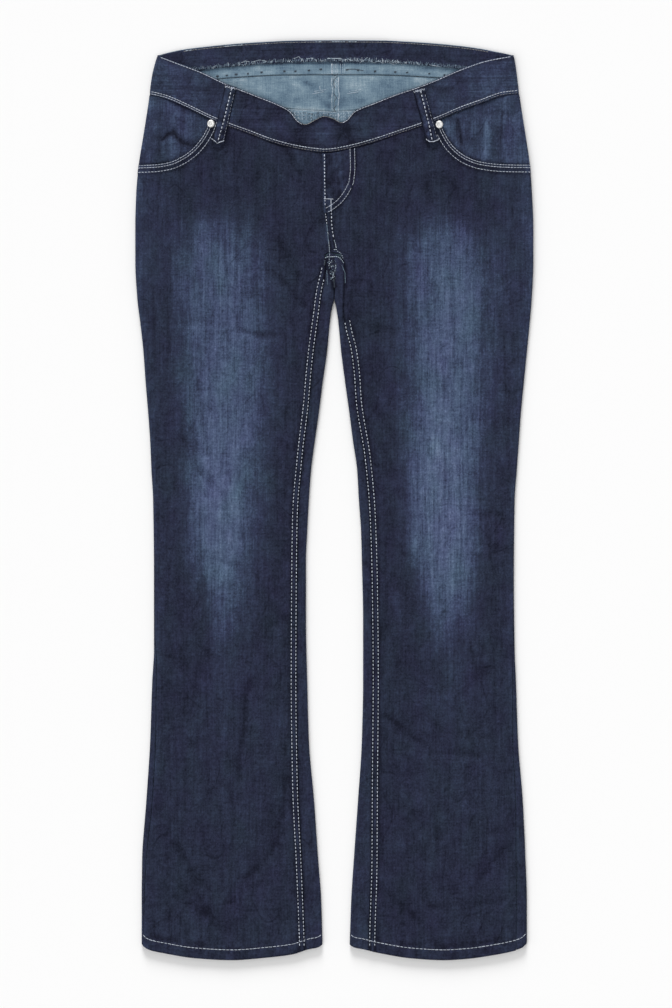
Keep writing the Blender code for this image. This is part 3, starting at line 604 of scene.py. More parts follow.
def laid_grid(across, down, place, up):
    """A mesh of create_grid's quads, one for each rung across and down, moved to where place says.

    place takes each corner's two rungs and gives its point in millimetres. up is 1 where the
    outside looks up, and -1 where it looks down.
    """
    shape = bmesh.new()
    bmesh.ops.create_grid(shape, x_segments=len(across) - 1, y_segments=len(down) - 1, size=0.5)
    mesh = mesh_from(shape, "laid")
    corners = read(mesh.vertices, "co")
    i = np.rint((corners[:, 0] + 0.5) * (len(across) - 1)).astype(int)
    j = np.rint((0.5 - corners[:, 1]) * (len(down) - 1)).astype(int)
    mesh.vertices.foreach_set("co", (place(across[i], down[j]) * MM).ravel())
    mesh.update()
    if read(mesh.polygons, "normal")[:, 2].mean() * up < 0:
        mesh.flip_normals()
    return mesh


def patch(columns, rows, place, up=1):
    """A laid grid with even rungs from 0 to 1."""
    return laid_grid(ladder((0, 1, columns)), ladder((0, 1, rows)), place, up)


def join(meshes, name):
    """One mesh of several, merged where they meet."""
    shape = bmesh.new()
    for mesh in meshes:
        shape.from_mesh(mesh)
        bpy.data.meshes.remove(mesh)
    bmesh.ops.remove_doubles(shape, verts=shape.verts[:], dist=2e-5)
    return mesh_from(shape, name)


def set_tone(mesh, name, values):
    """A value for each corner that the material reads."""
    layer = mesh.attributes.new(name, "FLOAT", "POINT")
    layer.data.foreach_set("value", np.asarray(values, np.float32))


def fade_at(x, y):
    """How far the dye has gone from the front: long ovals down the thighs, and lighter hips."""
    u = x + 4 * wander(x, y, 7, 110, 11) + 6 * wander(x, y, 26, 150, 12)
    v = y + 16 * wander(x, y, 8, 160, 13) + 8 * wander(x, y, 22, 50, 14)
    total = 0.13 * step(np.abs(x), 165, 232) * step(y, 180, 260)
    for middle, level, width, height, share in zip(*LIGHTER.values()):
        total = total + share * bump_at(x - middle, width) * bump_at(y - level, height)
    for side in SIDES:
        away = np.abs(u - fade_middle[side](v)) / fade_width(v)
        total = total + fade_depth[side](v) * np.exp(-(away**3.2))
    return total


def add_piece(name, mesh, finishes):
    """A smooth object at the origin with its finishes, in the scene."""
    for finish in finishes:
        mesh.materials.append(bpy.data.materials[finish])
    mesh.shade_smooth()
    made = bpy.data.objects.new(name, mesh)
    bpy.context.scene.collection.objects.link(made)
    return made


def stand_for(made, node):
    """The piece rides the body in the place of a CAD node."""
    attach(made, BODY)
    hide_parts(node)


def add_cloth(node, meshes, wall, tone, finishes=("Denim",)):
    """The shell that stands for a CAD node. tone gives the fade, and the wear together with painted shade and
    highlights, at each x, y and z of it.
    """
    mesh = join(meshes, node + "_cloth")
    fade, worn = tone(*(read(mesh.vertices, "co") / MM).T)
    set_tone(mesh, "fade", fade)
    # The second tone holds wear together with painted shade and highlights; the denim finishes add it to
    # their colour.
    set_tone(mesh, "worn", worn)
    made = add_piece(node + "_cloth", mesh, finishes)
    shell = made.modifiers.new("Cloth", "SOLIDIFY")
    shell.thickness = wall * MM
    shell.offset = -1
    shell.use_even_offset = False
    shell.material_offset = len(finishes) - 1
    edges = made.modifiers.new("Edges", "WEIGHTED_NORMAL")
    edges.weight = 60
    stand_for(made, node)


def crease_wear_and_shade(x, y):
    """Ridges are lighter and the bottoms of creases darker, partly wear and partly painted shade. The rims
    add painted shade on one side of each fine crease and a painted highlight on the other, as if lit from the
    waist.
    """
    u, v = bent(x, y)
    # Painted shade on one side of each fine crease and a painted highlight on the other.
    rim_shade = folds_at(FINE_CREASES, u, v - 1.1) - folds_at(FINE_CREASES, u, v + 1.1)
    return folds_at(CREASES, u, v) * 0.12 + folds_at(FINE_CREASES, u, v) * 1.5 + rim_shade * 1.5


# ---------------------------------------------------------------- finishes
class Value:
    """A socket of a shader, so that sums and products of sockets are written as in Python."""

    def __init__(self, finish, socket):
        self.finish = finish
        self.socket = socket

    def math(self, operation, first, second):
        return self.finish.node("ShaderNodeMath", {"operation": operation}, {0: first, 1: second})

    def __add__(self, other):
        return self.math("ADD", self, other)

    def __radd__(self, other):
        return self.math("ADD", other, self)

    def __sub__(self, other):
        return self.math("SUBTRACT", self, other)

    def __rsub__(self, other):
        return self.math("SUBTRACT", other, self)

    def __mul__(self, other):
        return self.math("MULTIPLY", self, other)

    def __rmul__(self, other):
        return self.math("MULTIPLY", other, self)


class Finish:
    """A material in the making."""

    def __init__(self, name):
        self.material = bpy.data.materials.new(name)
        self.material.use_nodes = True
        self.tree = self.material.node_tree
        self.shader = self.tree.nodes["Principled BSDF"]

    def node(self, kind, settings=None, values=None, output=0):
        """Any node: its settings first, then the numbers or links of its sockets."""
        made = self.tree.nodes.new(kind)
        for key, setting in (settings or {}).items():
            if key == "stops":
                self.set_stops(made.color_ramp, setting)
            else:
                setattr(made, key, setting)
        for key, value in (values or {}).items():
            self.feed(made.inputs[key], value)
        return Value(self, made.outputs[output])

    def set_stops(self, ramp, stops):
        while len(ramp.elements) < len(stops):
            ramp.elements.new(1.0)
        for element, (position, colour) in zip(ramp.elements, stops):
            element.position = position
            element.color = (*colour, 1)

    def feed(self, socket, value):
        if isinstance(value, Value):
            self.tree.links.new(value.socket, socket)
        else:
            socket.default_value = value

    def set(self, **values):
        """The shader's own sockets, named with underscores."""
        for key, value in values.items():
            self.feed(self.shader.inputs[key.replace("_", " ")], value)
        return self.material

    def place(self):
        return self.node("ShaderNodeTexCoord", output="Object")

    def tone(self, name):
        return self.node("ShaderNodeAttribute", {"attribute_name": name}, output="Fac")

    def grain(self, across, along, detail=3.0, shift=0.0, roughness=0.6):
        """Noise whose patches are about so many millimetres across (X) and along (Y)."""
        scale = (1 / (across * MM), 1 / (along * MM), 1 / (across * MM))
        moved = (shift, shift * 0.7, shift * 1.3)
        stretched = self.node(
            "ShaderNodeMapping", None, {"Vector": self.place(), "Location": moved, "Scale": scale}
        )
        values = {"Vector": stretched, "Scale": 1.0, "Detail": detail, "Roughness": roughness}
        return self.node("ShaderNodeTexNoise", None, values, "Fac")

    def bump(self, height, distance, strength=1.0):
        values = {"Height": height, "Distance": distance * MM, "Strength": strength}
        return self.node("ShaderNodeBump", None, values)

    def ramp(self, stops, at):
        return self.node("ShaderNodeValToRGB", {"stops": stops}, {"Fac": at}, "Color")

    def waves(self, scale, distortion, **more):
        """Diagonal ribs."""
        settings = {"wave_type": "BANDS", "bands_direction": "DIAGONAL"}
        values = {"Vector": self.place(), "Scale": scale, "Distortion": distortion, **more}
        return self.node("ShaderNodeTexWave", settings, values, "Fac")

    def between(self, value, start, end):
        """0 at start and 1 at end."""
        return self.node("ShaderNodeMapRange", None, {"Value": value, "From Min": start, "From Max": end})

    def size(self, value):
        return self.node("ShaderNodeMath", {"operation": "ABSOLUTE"}, {0: value})


def shown(red, green, blue):
    """A colour as seen on a screen, 0 to 255, in the linear values of a shader."""
    values = [component / 255 for component in (red, green, blue)]
    return tuple(v / 12.92 if v <= 0.04045 else ((v + 0.055) / 1.055) ** 2.4 for v in values)


def make_denim(name, across=False):
    """Dark indigo twill, streaked along the warp, faded to a lighter blue where the fade says so, lighter or
    darker where the other tone holds wear and painted shade, and with painted shade along thin crease lines
    and in the crumple's valleys.
    """
    finish = Finish(name)

    def yarns(width, length, *rest):
        return finish.grain(*((length, width) if across else (width, length)), *rest) - 0.5

    fade = finish.tone("fade")
    worn = finish.tone("worn")
    warp = yarns(2.6, 60, 4.0, 3.1, 0.72)
    slub = yarns(7, 190, 3.0, 7.7)
    weft = yarns(17, 2.4, 3.0, 1.9, 0.65)
    cloud = finish.grain(12, 17, 4.0, 5.3) - 0.5
    speck = finish.grain(2.1, 2.5, 2.0, 9.1, 0.75) - 0.5
    crumple = finish.grain(15, 24, 5.0, 6.1, 0.65) - 0.5
    valleys = finish.size(crumple)
    # Thin crease lines, in patches, painted darker as shade and pressed in by the bump.
    run = finish.size(finish.grain(26, 44, 0.4, 12.7, 0.4) - 0.5)
    some = finish.between(finish.grain(45, 60, 1.0, 15.2), 0.46, 0.60)
    crisp_crease_shade = finish.between(run, 0.034, 0.004) * some
    tone = fade * 0.62 + 0.168 + worn * 0.10 - crisp_crease_shade * 0.055
    streaks = warp * (fade * 0.9 + 0.8) + slub * (fade * 0.6 + 0.35)
    grains = streaks + weft * 0.45 + cloud * 0.65 + speck * 1.05
    # The tone is darker where the crumple's relief is low: painted shade in its valleys.
    tone = tone + grains * (fade * 0.25 + 0.41) + (valleys - 0.08) * 0.45
    hue = finish.grain(30, 60, 2.0, 4.4) * 0.07 + 0.465
    tinted = {"Hue": hue, "Color": finish.ramp(DENIM_TONES, tone)}
    colour = finish.node("ShaderNodeHueSaturation", None, tinted, "Color")
    ribs = finish.waves(320.0, 1.5, **{"Detail": 1.0, "Detail Scale": 2.0})
    height = ribs * 0.06 + warp * 0.55 + weft * 0.3 + speck * 0.4 + cloud * 1.2 + valleys * 4.8 - crisp_crease_shade * 0.5
    return finish.set(
        Base_Color=colour,
        Roughness=0.88 - fade * 0.05,
        Normal=finish.bump(height, 1.0),
        Specular_IOR_Level=0.1,
    )


def make_inside():
    """The denim's pale inside: mostly undyed weft, with blue warp showing through."""
    finish = Finish("Denim inside")
    warp = finish.grain(1.2, 26, 3.0, 2.2) - 0.5
    weft = finish.grain(16, 1.2, 3.0, 4.4) - 0.5
    cloud = finish.grain(22, 15, 3.0, 6.6) - 0.5
    speck = finish.grain(1.3, 1.3, 2.0, 8.8, 0.7) - 0.5
    # The second tone adds wear and painted shade here as well.
    tone = 0.5 + finish.tone("worn") * 0.25 + warp * 0.45 + weft * 0.45 + cloud * 0.6 + speck * 0.55
    return finish.set(
        Base_Color=finish.ramp(INSIDE_TONES, tone),
        Roughness=0.9,
        Normal=finish.bump(warp + weft + speck, 0.3, 0.7),
        Specular_IOR_Level=0.25,
    )


def make_thread(name, light, dark):
    """Twisted sewing thread, a little uneven in colour."""
    finish = Finish(name)
    patches = finish.grain(2.5, 2.5, 2.0, 1.5)
    return finish.set(
        Base_Color=finish.ramp(((0.3, dark), (0.7, light)), patches),
        Roughness=0.6,
        Normal=finish.bump(finish.waves(700.0, 0.5), 0.2, 0.6),
        Sheen_Weight=0.1,
    )


def make_metal():
    """Nickel of the rivets, with fine scratches."""
    finish = Finish("Nickel")
    scratches = finish.grain(0.25, 2.0, 3.0, 0.7)
    stops = ((0.2, (0.66, 0.66, 0.65)), (0.7, (0.97, 0.97, 0.96)))
    return finish.set(
        Base_Color=finish.ramp(stops, scratches),
        Metallic=1.0,
        Roughness=0.40 + scratches * 0.16,
        Normal=finish.bump(scratches, 0.05, 0.5),
    )


DENIM_TONES = (
    (0.00, shown(22, 25, 40)),
    (0.18, shown(39, 44, 63)),
    (0.34, shown(49, 57, 80)),
    (0.52, shown(66, 79, 106)),
    (0.72, shown(84, 99, 128)),
    (1.00, shown(112, 128, 156)),
)
INSIDE_TONES = (
    (0.0, shown(38, 48, 68)),
    (0.3, shown(84, 107, 127)),
    (0.6, shown(116, 139, 155)),
    (1.0, shown(170, 186, 196)),
)


# ---------------------------------------------------------------- front panels
def front_inner(side, y):
    """Inner edge of a front panel: the centre front seam, and below it the inseam."""
    return np.where(y >= CROTCH, centre_front(y), inseam[side](y))


def front_reach(side, y):
    """Distance across a front panel from the outer fold's middle to its inner edge."""
    return QUARTER + np.abs(front_inner(side, y) - fold_start(side, "outer", y))


def front_upper_edge(side, x):
    corner = POCKET_EDGE[side]["x"][-1]
    return np.where(np.abs(x) > abs(corner), pocket_edge[side](x), front_seam(x))


def lower_rows(top, count):
    """Rungs of a leg: a level, and beyond LEG_FOOT the share of the way from there to the hem."""
    return ladder((top, LEG_FOOT, count), (LEG_FOOT, LEG_FOOT - 1, 16))


def leg_level(side, rung, x, short=0.0):
    share = np.clip(LEG_FOOT - rung, 0, 1)
    foot = hem[side](x) + short * np.sin(math.pi * leg_share(side, x))
    return np.maximum(rung, LEG_FOOT) * (1 - share) + share * foot


def leg_share(side, x):
    inner = inner_edge[side](LEG_FOOT)
    return np.clip((x - inner) / (outer_edge[side](LEG_FOOT) - inner), 0, 1)


def panel_level(rung, foot, top, leg):
    """Level of a panel's rung: a share of the way from foot to top, or the leg's own level below that."""
    share = np.clip((rung - PANEL_FOOT) / (PANEL_TOP - PANEL_FOOT), 0, 1)
    return np.where(rung >= PANEL_FOOT, foot + share * (top - foot), leg)


def pucker(x, y, distance, reach=5.0):
    """Cloth gathered a little by a row of stitches."""
    return 0.16 * bump_at(distance, reach) * wander(x, y, 6, 6, 21)


def hem_relief(side, x, y):
    """The turned hem: a raised band, with diagonal roping where it is sewn."""
    height = y - hem[side](x)
    band = HEM_RISE * (1 - step(height, HEM_DEPTH - 1, HEM_DEPTH + 1.5))
    rope = 0.16 * np.sin((x * 0.8 + height * 1.3) * 0.75 + 2 * wander(x, y, 12, 12, 31))
    drawn = bump_at(height - HEM_DEPTH + 2, 1.4) * 0.35
    return band + rope * (1 - step(height, 10, 16)) - drawn


def felled(distance):
    """A felled seam's raised band, drawn in along its two rows of stitches."""
    band = SEAM_RISE * (1 - step(distance, SEAM_WIDTH - 0.5, SEAM_WIDTH + 1.5))
    return band - lines((0.22, distance - ROW_NEAR, 0.8), (0.22, distance - ROW_FAR, 0.8))


def front_panel(side):
    near_width = 6.0
    seam_zone = 9.5
    across = ladder((0, 1, 7), (1, 2, 78), (2, 3, 10))
    body = ladder((PANEL_TOP, 1890, 13), (1890, PANEL_FOOT, 46))[:-1]

    def place(column, rung):
        def along_at(y):
            start = outseam[side](y) + SIDE_GAP
            middle = front_reach(side, y) - GAP / 2 - seam_zone - start - near_width
            widths = near_width, middle, seam_zone
            return start + sum(width * np.clip(column - k, 0, 1) for k, width in enumerate(widths))

        def level(x, _):
            top = front_upper_edge(side, x) - GAP / 2
            return panel_level(rung, CROTCH, top, leg_level(side, rung, x))

        x, along, y = settle(outer_spot(side, along_at), level, rung.shape, 100.0)
        to_seam = front_reach(side, y) - along
        to_band = front_seam(x) - y
        to_pocket = path_distance(x, y, pocket_path(side))
        seamed = (y < CROTCH + 3) | (side == "left")
        near_pocket = np.abs(x) > abs(POCKET_EDGE[side]["x"][-1]) - 14
        rows = lines(*((0.2, to_pocket - row, 0.8) for row in POCKET_ROWS))
        raised = small_creases(x, y) * step(along, 2, 9) - 0.25 * bump_at(to_band, 2.0)
        raised = raised + np.where(seamed, felled(to_seam) * (1 - step(y, 330, 342)), 0)
        raised = raised + (0.45 * (1 - step(to_pocket, 9.5, 12)) - rows) * near_pocket
        for distance, reach in ((to_seam - 3.5, 5), (to_band, 6), (to_pocket - 5, 6)):
            raised = raised + pucker(x, y, distance, reach)
        raised = raised + hem_relief(side, x, y) - flatten_under_fly(x, y)
        return over_skin(side, "outer", along, y, CLOTH, raised)

    def tone(x, y, _):
        height = y - hem[side](x)
        to_pocket = path_distance(x, y, pocket_path(side))
        to_seam = np.abs(x - front_inner(side, y))
        rivet_x, rivet_y = rivet_middle(side)
        # Painted shade in patches along a band just above the hem.
        shade_above_hem = bump_at(height - HEM_DEPTH - 3.5, 2.5) * step(wander(x, y, 16, 16, 41), -0.7, 0.3)
        between = bump_at(to_seam - 3.7, 1.1) * (0.3 + 1.1 * wander(x, y, 5, 5, 43))
        # Painted shade along both rows of the felled seam.
        row_shade = bump_at(to_seam - ROW_NEAR, 1.3) + bump_at(to_seam - ROW_FAR, 1.3)
        sewn = (y < FRONT_SEWN_TO[side]) | ((side == "left") & (y > CROTCH + 1))
        worn = crease_wear_and_shade(x, y) + 0.5 * wander(x, y, 6, 6, 42) * (1 - step(height, 10, 15))
        worn = worn + 0.7 * wander(x, y, 3.5, 7, 44) * (1 - step(height, HEM_DEPTH, HEM_DEPTH + 2))
        worn = worn + (between - 1.8 * row_shade) * sewn - 1.3 * shade_above_hem + folds_at(CROTCH_SHADE, x, y)
        # Painted shade: dark lines at the hem's upper edge, beside the pocket's rows, in the seam's groove
        # and beside its raised band, in a ring round the rivet, round the belt loop and under the waistband's
        # seam.
        worn = worn - lines(
            (0.6, height - HEM_DEPTH, 1.3),
            (1.5, to_pocket - 6.0, 1.7),
            (1.3, to_pocket - 11.2, 1.6),
            (1.5 * (y < CROTCH + 1), to_seam + 0.3, 1.4),
            (0.8 * (y < 262), to_seam - SEAM_WIDTH - 1.6, 1.6),
            (2.5, np.hypot(x - rivet_x, y - rivet_y) - 5.2, 1.4),
            (1.6, path_distance(x, y, LOOP_ENDS[side]) - 8, 1.6),
            (1.8, front_seam(x) - y, 1.2),
        )
        return fade_at(x, y) + 0.17 * bump_at(SIDES[side] * (outer_edge[side](y) - x), 9), worn

    mesh = laid_grid(across, np.concatenate([body, lower_rows(CROTCH, 250)]), place, 1)
    add_cloth("front_panel_" + side, [mesh], CLOTH, tone)


def rivet_middle(side):
    low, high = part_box("rivet_" + side)
    return 500 * (low.x + high.x), 500 * (low.y + high.y)


def pocket_path(side):
    """Points along a pocket's opening."""
    xs = np.linspace(POCKET_EDGE[side]["x"][0], POCKET_EDGE[side]["x"][-1], 22)
    return np.stack([xs, pocket_edge[side](xs)], -1)


def flatten_under_fly(x, y):
    """The panels give way a little under the fly, so that it lies on them."""
    inside = step(x, -18, -14) * (1 - step(x, 24, 28)) * step(y, 334, 339) * (1 - step(y, 414, 418))
    return 0.15 * inside


# ---------------------------------------------------------------- back panels, yokes and waistbands
def back_relief(x, y):
    """Underneath the cloth is pressed flat, with shallow creases drawn in from the surface."""
    creases = np.minimum(folds_at(CREASES, *bent(-x, y)), 0) * 0.16
    rows = bump_at(yoke_seam(x) - y - 4, 5) + bump_at(x, 6) * step(y, 250, 262)
    return creases + np.minimum(wander(x, y, 30, 60, 51), 0) * 0.1 - 0.12 * rows - UNDER_LIFT


def back_panel(side):
    def under_at(rung, y):
        """(inner fold or not, distance along) of the part that goes under the leg."""
        seam = outseam[side](y) - SIDE_GAP
        span = np.abs(fold_start(side, "outer", y) - fold_start(side, "inner", y))
        outer = np.where(rung <= 1, seam - rung * (seam + QUARTER), -QUARTER - (rung - 1) * span)
        return rung > 2, np.where(rung > 2, -QUARTER * (3 - rung), outer)

    def over_at(rung, y):
        """The same for the part that has come up on top inside the leg."""
        seam = QUARTER + np.abs(inseam[side](y) - fold_start(side, "inner", y)) - GAP / 2
        far = QUARTER + (rung - 1) * (seam - QUARTER)
        return rung > -1, np.maximum(np.where(rung <= 1, QUARTER * rung, far), 1e-6)

    def placed(where, upper_edge, short):
        def place(column, rung):
            def spot(y):
                inner, along = where(column, y)
                folds = (sideways(side, fold, along, y) for fold in ("inner", "outer"))
                return np.where(inner, *folds), along

            def level(x, _):
                return panel_level(rung, APEX, upper_edge(x), leg_level(side, rung, x, short))

            x, along, y = settle(spot, level, rung.shape, 100.0)
            to_seam = np.abs(x - inseam[side](y))
            off_fold = step(np.abs(along), 0, 4)
            top = (small_creases(x, y) * 0.5 + hem_relief(side, x, y)) * off_fold
            top = top + pucker(x, y, to_seam, 4) - 0.3 * bump_at(to_seam, 1.2)
            raised = np.where(along > 0, top, back_relief(x, y) * off_fold)
            folds = (over_skin(side, fold, along, y, CLOTH, raised) for fold in ("inner", "outer"))
            return np.where(where(column, y)[0][:, None], *folds)

        return place

    def tone(x, y, z):
        on_top = z > BETWEEN_LAYERS
        fade = np.where(on_top, 0.06, 0.9 * fade_at(x, y))
        # Painted shade along the inseam, a little uneven, and in the pinched crotch.
        seamed = bump_at(np.abs(x - inseam[side](y)), 2.2) * (wander(x, y, 5, 7, 61) * 0.8 - 1.3)
        pinch_shade = lines(
            (1.5, path_distance(x, y, ((-4, 282), (-3, 266))), 5),
            (3.0, path_distance(x, y, ((-2, 262), (-0.5, 250))), 3.2),
        )
        edge = bump_at(np.minimum(np.abs(x - inner_edge[side](y)), 9), 2.5) * 0.3
        mottled = 2.4 * wander(x, y, 1.9, 2.3, 62) * bump_at(path_distance(x, y, ((-4, 281), (-2, 264))), 6)
        top = seamed - 0.5 * pinch_shade + edge * (y < APEX) + mottled + folds_at(CROTCH_SHADE, x, y)
        above_yoke = y - yoke_seam(x)
        fuzz = step(above_yoke, -16, -13) * (np.abs(x) < 70) * (0.5 * wander(x, y, 5, 5, 63) - 0.4)
        under = crease_wear_and_shade(-x, y) * 0.6 + fuzz + 2.0 * bump_at(above_yoke + 1.2, 1.0)
        return fade, np.where(on_top, top, under)

    legs = lower_rows(APEX, 210)
    under = laid_grid(
        ladder((0, 1, 10), (1, 2, 58), (2, 3, 5)),
        np.concatenate([ladder((PANEL_TOP, PANEL_FOOT, 62))[:-1], legs]),
        placed(under_at, lambda x: yoke_seam(x) - GAP / 2, BACK_HEM_SHORT),
        -1,
    )
    over = laid_grid(
        ladder((0, 1, 5), (1, 2, 11)),
        np.concatenate([ladder((PANEL_TOP, PANEL_FOOT, 16))[:-1], legs]),
        placed(over_at, lambda x: crotch_edge(x) - GAP, 0.0),
        1,
    )
    add_cloth("back_panel_" + side, [under, over], CLOTH, tone, ["Denim", "Denim inside"])


BAND_ROWS = ladder((0, 0.1, 3), (0.1, 0.9, 10), (0.9, 1, 3))


def across_band(
    node, up, low, top, relief, tone, finishes, rows=BAND_ROWS, ends=SIDE_GAP, wall=BAND, slot="denim"
):
    """A strip right across one layer between two edges, from fold to fold."""

    def place(column, rung):
        def along_at(side, y):
            whole = QUARTER + np.abs(fold_start(side, "outer", y, BAND))
            return up * (ends + (1 - np.abs(column)) * (whole - ends))

        def level(x, _):
            return top(x) + rung * (low(x) - top(x))

        halves = []
        for side in SIDES:
            spot = outer_spot(side, lambda y: along_at(side, y), BAND)
            x, along, y = settle(spot, level, rung.shape, 500.0)
            halves.append(over_skin(side, "outer", along, y, BAND, relief(x, y, rung)))
        return np.where((column < 0)[:, None], *halves)

    mesh = laid_grid(ladder((-1, 0, 76), (0, 1, 76)), rows, place, up)
    add_cloth(node, [mesh], wall, tone, finishes)


def band_puff(rung, edge=0.35):
    """A doubled band is thin at its edges and full in its middle."""
    return -edge * (bump_at(rung, 0.07) + bump_at(1 - rung, 0.07))


def front_waistband():
    def low(x):
        return front_seam(x) + GAP / 2

    def relief(x, y, rung):
        over, under = y - front_seam(x), front_top(x) - y
        wave = 0.35 * wander(x, y, 18, 30, 71) + 0.12 * wander(x, y, 7, 9, 72)
        gathered = pucker(x, y, over - 3, 5) + pucker(x, y, under, 5)
        edges = lines((0.25, under - 2.2, 0.9), (0.25, over - 1.6, 0.8))
        return folds_at(RIPPLES, x, y) + wave + gathered + band_puff(rung) - edges

    def tone(x, y, _):
        over, under = y - front_seam(x), front_top(x) - y
        fade = 0.06 + 0.20 * step(np.abs(x), 80, 200) + 0.07 * step(x, 80, 160) + 0.03 * step(-x, 90, 140)
        rolled = step(x, -38, -32) * (1 - step(x, 2, 8))
        # The ripples' troughs are painted darker and their crests lighter: painted shade and highlight.
        worn = folds_at(RIPPLES, x, y) * 0.9 + 0.55 * wander(x, y, 16, 10, 74) + 0.45 * wander(x, y, 5, 6, 75)
        shade = lines((1.4, under - 3.0, 1.5), (1.6 * rolled, under, 4))
        shade = shade + lines((1.4, over, 0.8), (1.2, over - 6.6, 1.5))
        return fade + 0.09 * wander(x, y, 26, 11, 73), worn - shade

    across_band("front_waistband", 1, low, front_top, relief, tone, ["Denim across"])


def back_waistband():
    def low(x):
        return back_seam(x) + GAP / 2

    def relief(x, y, rung):
        return band_puff(rung, 0.25) - UNDER_LIFT * 0.6

    def tone(x, y, _):
        # The inside is painted darker towards the ends, as shade where the front band closes over it. The
        # lines are a painted highlight along the top fold, a lighter band above the seam, a painted shadow
        # just under the turned-in strip's edge, and painted shade beside the seat seam.
        ends = step(np.abs(x), 190, 202)
        worn = 0.4 * wander(x, y, 9, 6, 82) - 2.3 * ends + lines(
            (0.8, back_top(x) - y, 2),
            (0.3, y - back_seam(x) - 6, 3),
            (-1.7, y - strip_edge(x) + 1.0, 1.5),
            (-1.0, x - 8.2, 1.4),
        )
        # Only the outside's finish reads the fade, so this keeps its ends as light as the rest.
        return 0.08 + 0.06 * wander(x, y, 30, 14, 81) + 0.37 * ends, worn

    finishes = ["Denim across", "Denim inside"]
    across_band("back_waistband", -1, low, back_top, relief, tone, finishes, slot="denim_inside")


def back_waistband_facing():
    def top(x):
        return back_top(x) - 0.6

    def relief(x, y, rung):
        return 0.12 * wander(x, y, 12, 8, 91) * step(rung, 0.1, 0.4) - BAND - GAP

    def tone(x, y, _):
        # A painted highlight along the top fold and painted shade along the lower edge.
        worn = lines((1.1, back_top(x) - y, 1.8), (-0.5, y - strip_edge(x), 2))
        return 0.06 + 0.05 * wander(x, y, 40, 20, 93), worn + 0.5 * wander(x, y, 18, 8, 92)

    rows = ladder((0, 1, 12))
    edges = strip_edge, top
    across_band("back_waistband_facing", -1, *edges, relief, tone, ["Denim across"], rows, QUARTER + 4, STRIP)


def round_fold(rung, whole):
    """Distance from a side seam: rungs 0 to 1 go round the fold, and 1 to 2 on to the whole distance."""
    near = SIDE_GAP + rung * (QUARTER - SIDE_GAP)
    return np.where(rung <= 1, near, QUARTER + (rung - 1) * (whole - QUARTER))


def back_yoke(side):
    def place(column, rung):
        def along_at(y):
            return -round_fold(column, QUARTER + np.abs(fold_start(side, "outer", y)) - GAP / 2)

        def level(x, _):
            top = back_seam(x) - GAP / 2
            return top + rung * (yoke_seam(x) + GAP / 2 - top)

        x, along, y = settle(outer_spot(side, along_at), level, rung.shape, 480.0)
        drawn = lines((0.2, y - yoke_seam(x) - 4, 5), (0.15, back_seam(x) - y, 5))
        ripples = np.minimum(-folds_at(YOKE_CREASES, x, y), 0.1) - 0.18 * np.abs(wander(x, y, 22, 16, 101))
        return over_skin(side, "outer", along, y, CLOTH, ripples - drawn - UNDER_LIFT * 0.6)

    def tone(x, y, _):
        over, under = y - yoke_seam(x), back_seam(x) - y
        worn = 0.5 * wander(x, y, 24, 14, 102) + 0.35 * wander(x, y, 7, 5, 104)
        # The creases are painted as shade and highlight; the centre seam gets a painted highlight on its
        # ridge and painted shade either side, and the waistband seam a thin painted shade.
        worn = worn + 1.3 * folds_at(YOKE_CREASES, x, y) + lines(
            (-0.3, under, 1.0),
            (0.6 * step(wander(x, y, 12, 40, 105), -0.3, 0.3), under - 3, 1.6),
            (0.9, over - 1, 2),
            (0.7, x - 1, 2.2),
            (-1.2, x + 4.8, 1.2),
            (-1.2, x - 7.4, 1.2),
        )
        return 0.14 + 0.05 * wander(x, y, 30, 20, 103), worn

    down = ladder((0, 0.12, 3), (0.12, 0.85, 9), (0.85, 1, 3))
    mesh = laid_grid(ladder((0, 1, 8), (1, 2, 72)), down, place, -1)
    add_cloth("back_yoke_" + side, [mesh], CLOTH, tone, ["Denim", "Denim inside"])


# ---------------------------------------------------------------- pocket facings, fly, loops, pockets
FACING_DROP = CLOTH / 2 + FACING / 2 + 0.4
FACING_REACH = 9.0
FACING_FADE = {"right": 0.27, "left": 0.38}


def pocket_facing(side):
    last = POCKET_EDGE[side]["x"][-1] - SIDES[side] * 3.5

    def place(column, rung):
        def along_at(y):
            return round_fold(column, QUARTER + np.abs(last - fold_start(side, "outer", y, FACING)))

        def level(x, along):
            top = front_seam(x) - GAP / 2 - 0.4 * step(along, 60, 75)
            low = pocket_edge[side](x) + GAP / 2 - FACING_REACH * step(along, 36, 50)
            return top + rung * (low - top)

        x, along, y = settle(outer_spot(side, along_at, FACING), level, rung.shape, 440.0)
        folds = np.clip(folds_at(FACING_CREASES, x, y), -0.8, 0.8) + 0.15 * wander(x, y, 14, 18, 111)
        slack = folds * step(along, 3, 14) * step(pocket_depth(side, x, y), 0, 6)
        return over_skin(side, "outer", along, y, FACING, slack - FACING_DROP * step(along, 12, 34))

    def tone(x, y, _):
        patches = ((0.12, 18, 15, 112), (0.10, 6, 22, 113), (0.05, 4, 4, 114))
        fade = FACING_FADE[side] + sum(share * wander(x, y, *rest) for share, *rest in patches)
        shade = lines((1.6, pocket_depth(side, x, y), 2.5), (1.4, front_seam(x) - y, 2))
        # The creases and the sharp lines along them are painted shade, with a painted highlight on the few
        # that rise.
        worn = folds_at(FACING_CREASES, x, y) * 1.9 + folds_at(FACING_LINES, x, y) - shade
        return fade, np.clip(worn, -3.4, 3)

    mesh = laid_grid(ladder((0, 1, 6), (1, 2, 64)), ladder((0, 1, 56)), place, 1)
    add_cloth("pocket_facing_" + side, [mesh], FACING, tone)


def pocket_depth(side, x, y):
    """How far inside the pocket opening's edge a point of the facing lies."""
    return np.maximum(y - pocket_edge[side](x), 0) * 0.75


def over_front(x, y, height):
    """Points so high over the upper layer's middle."""
    return np.stack([x, y, upper_height(x, y) + height], -1)


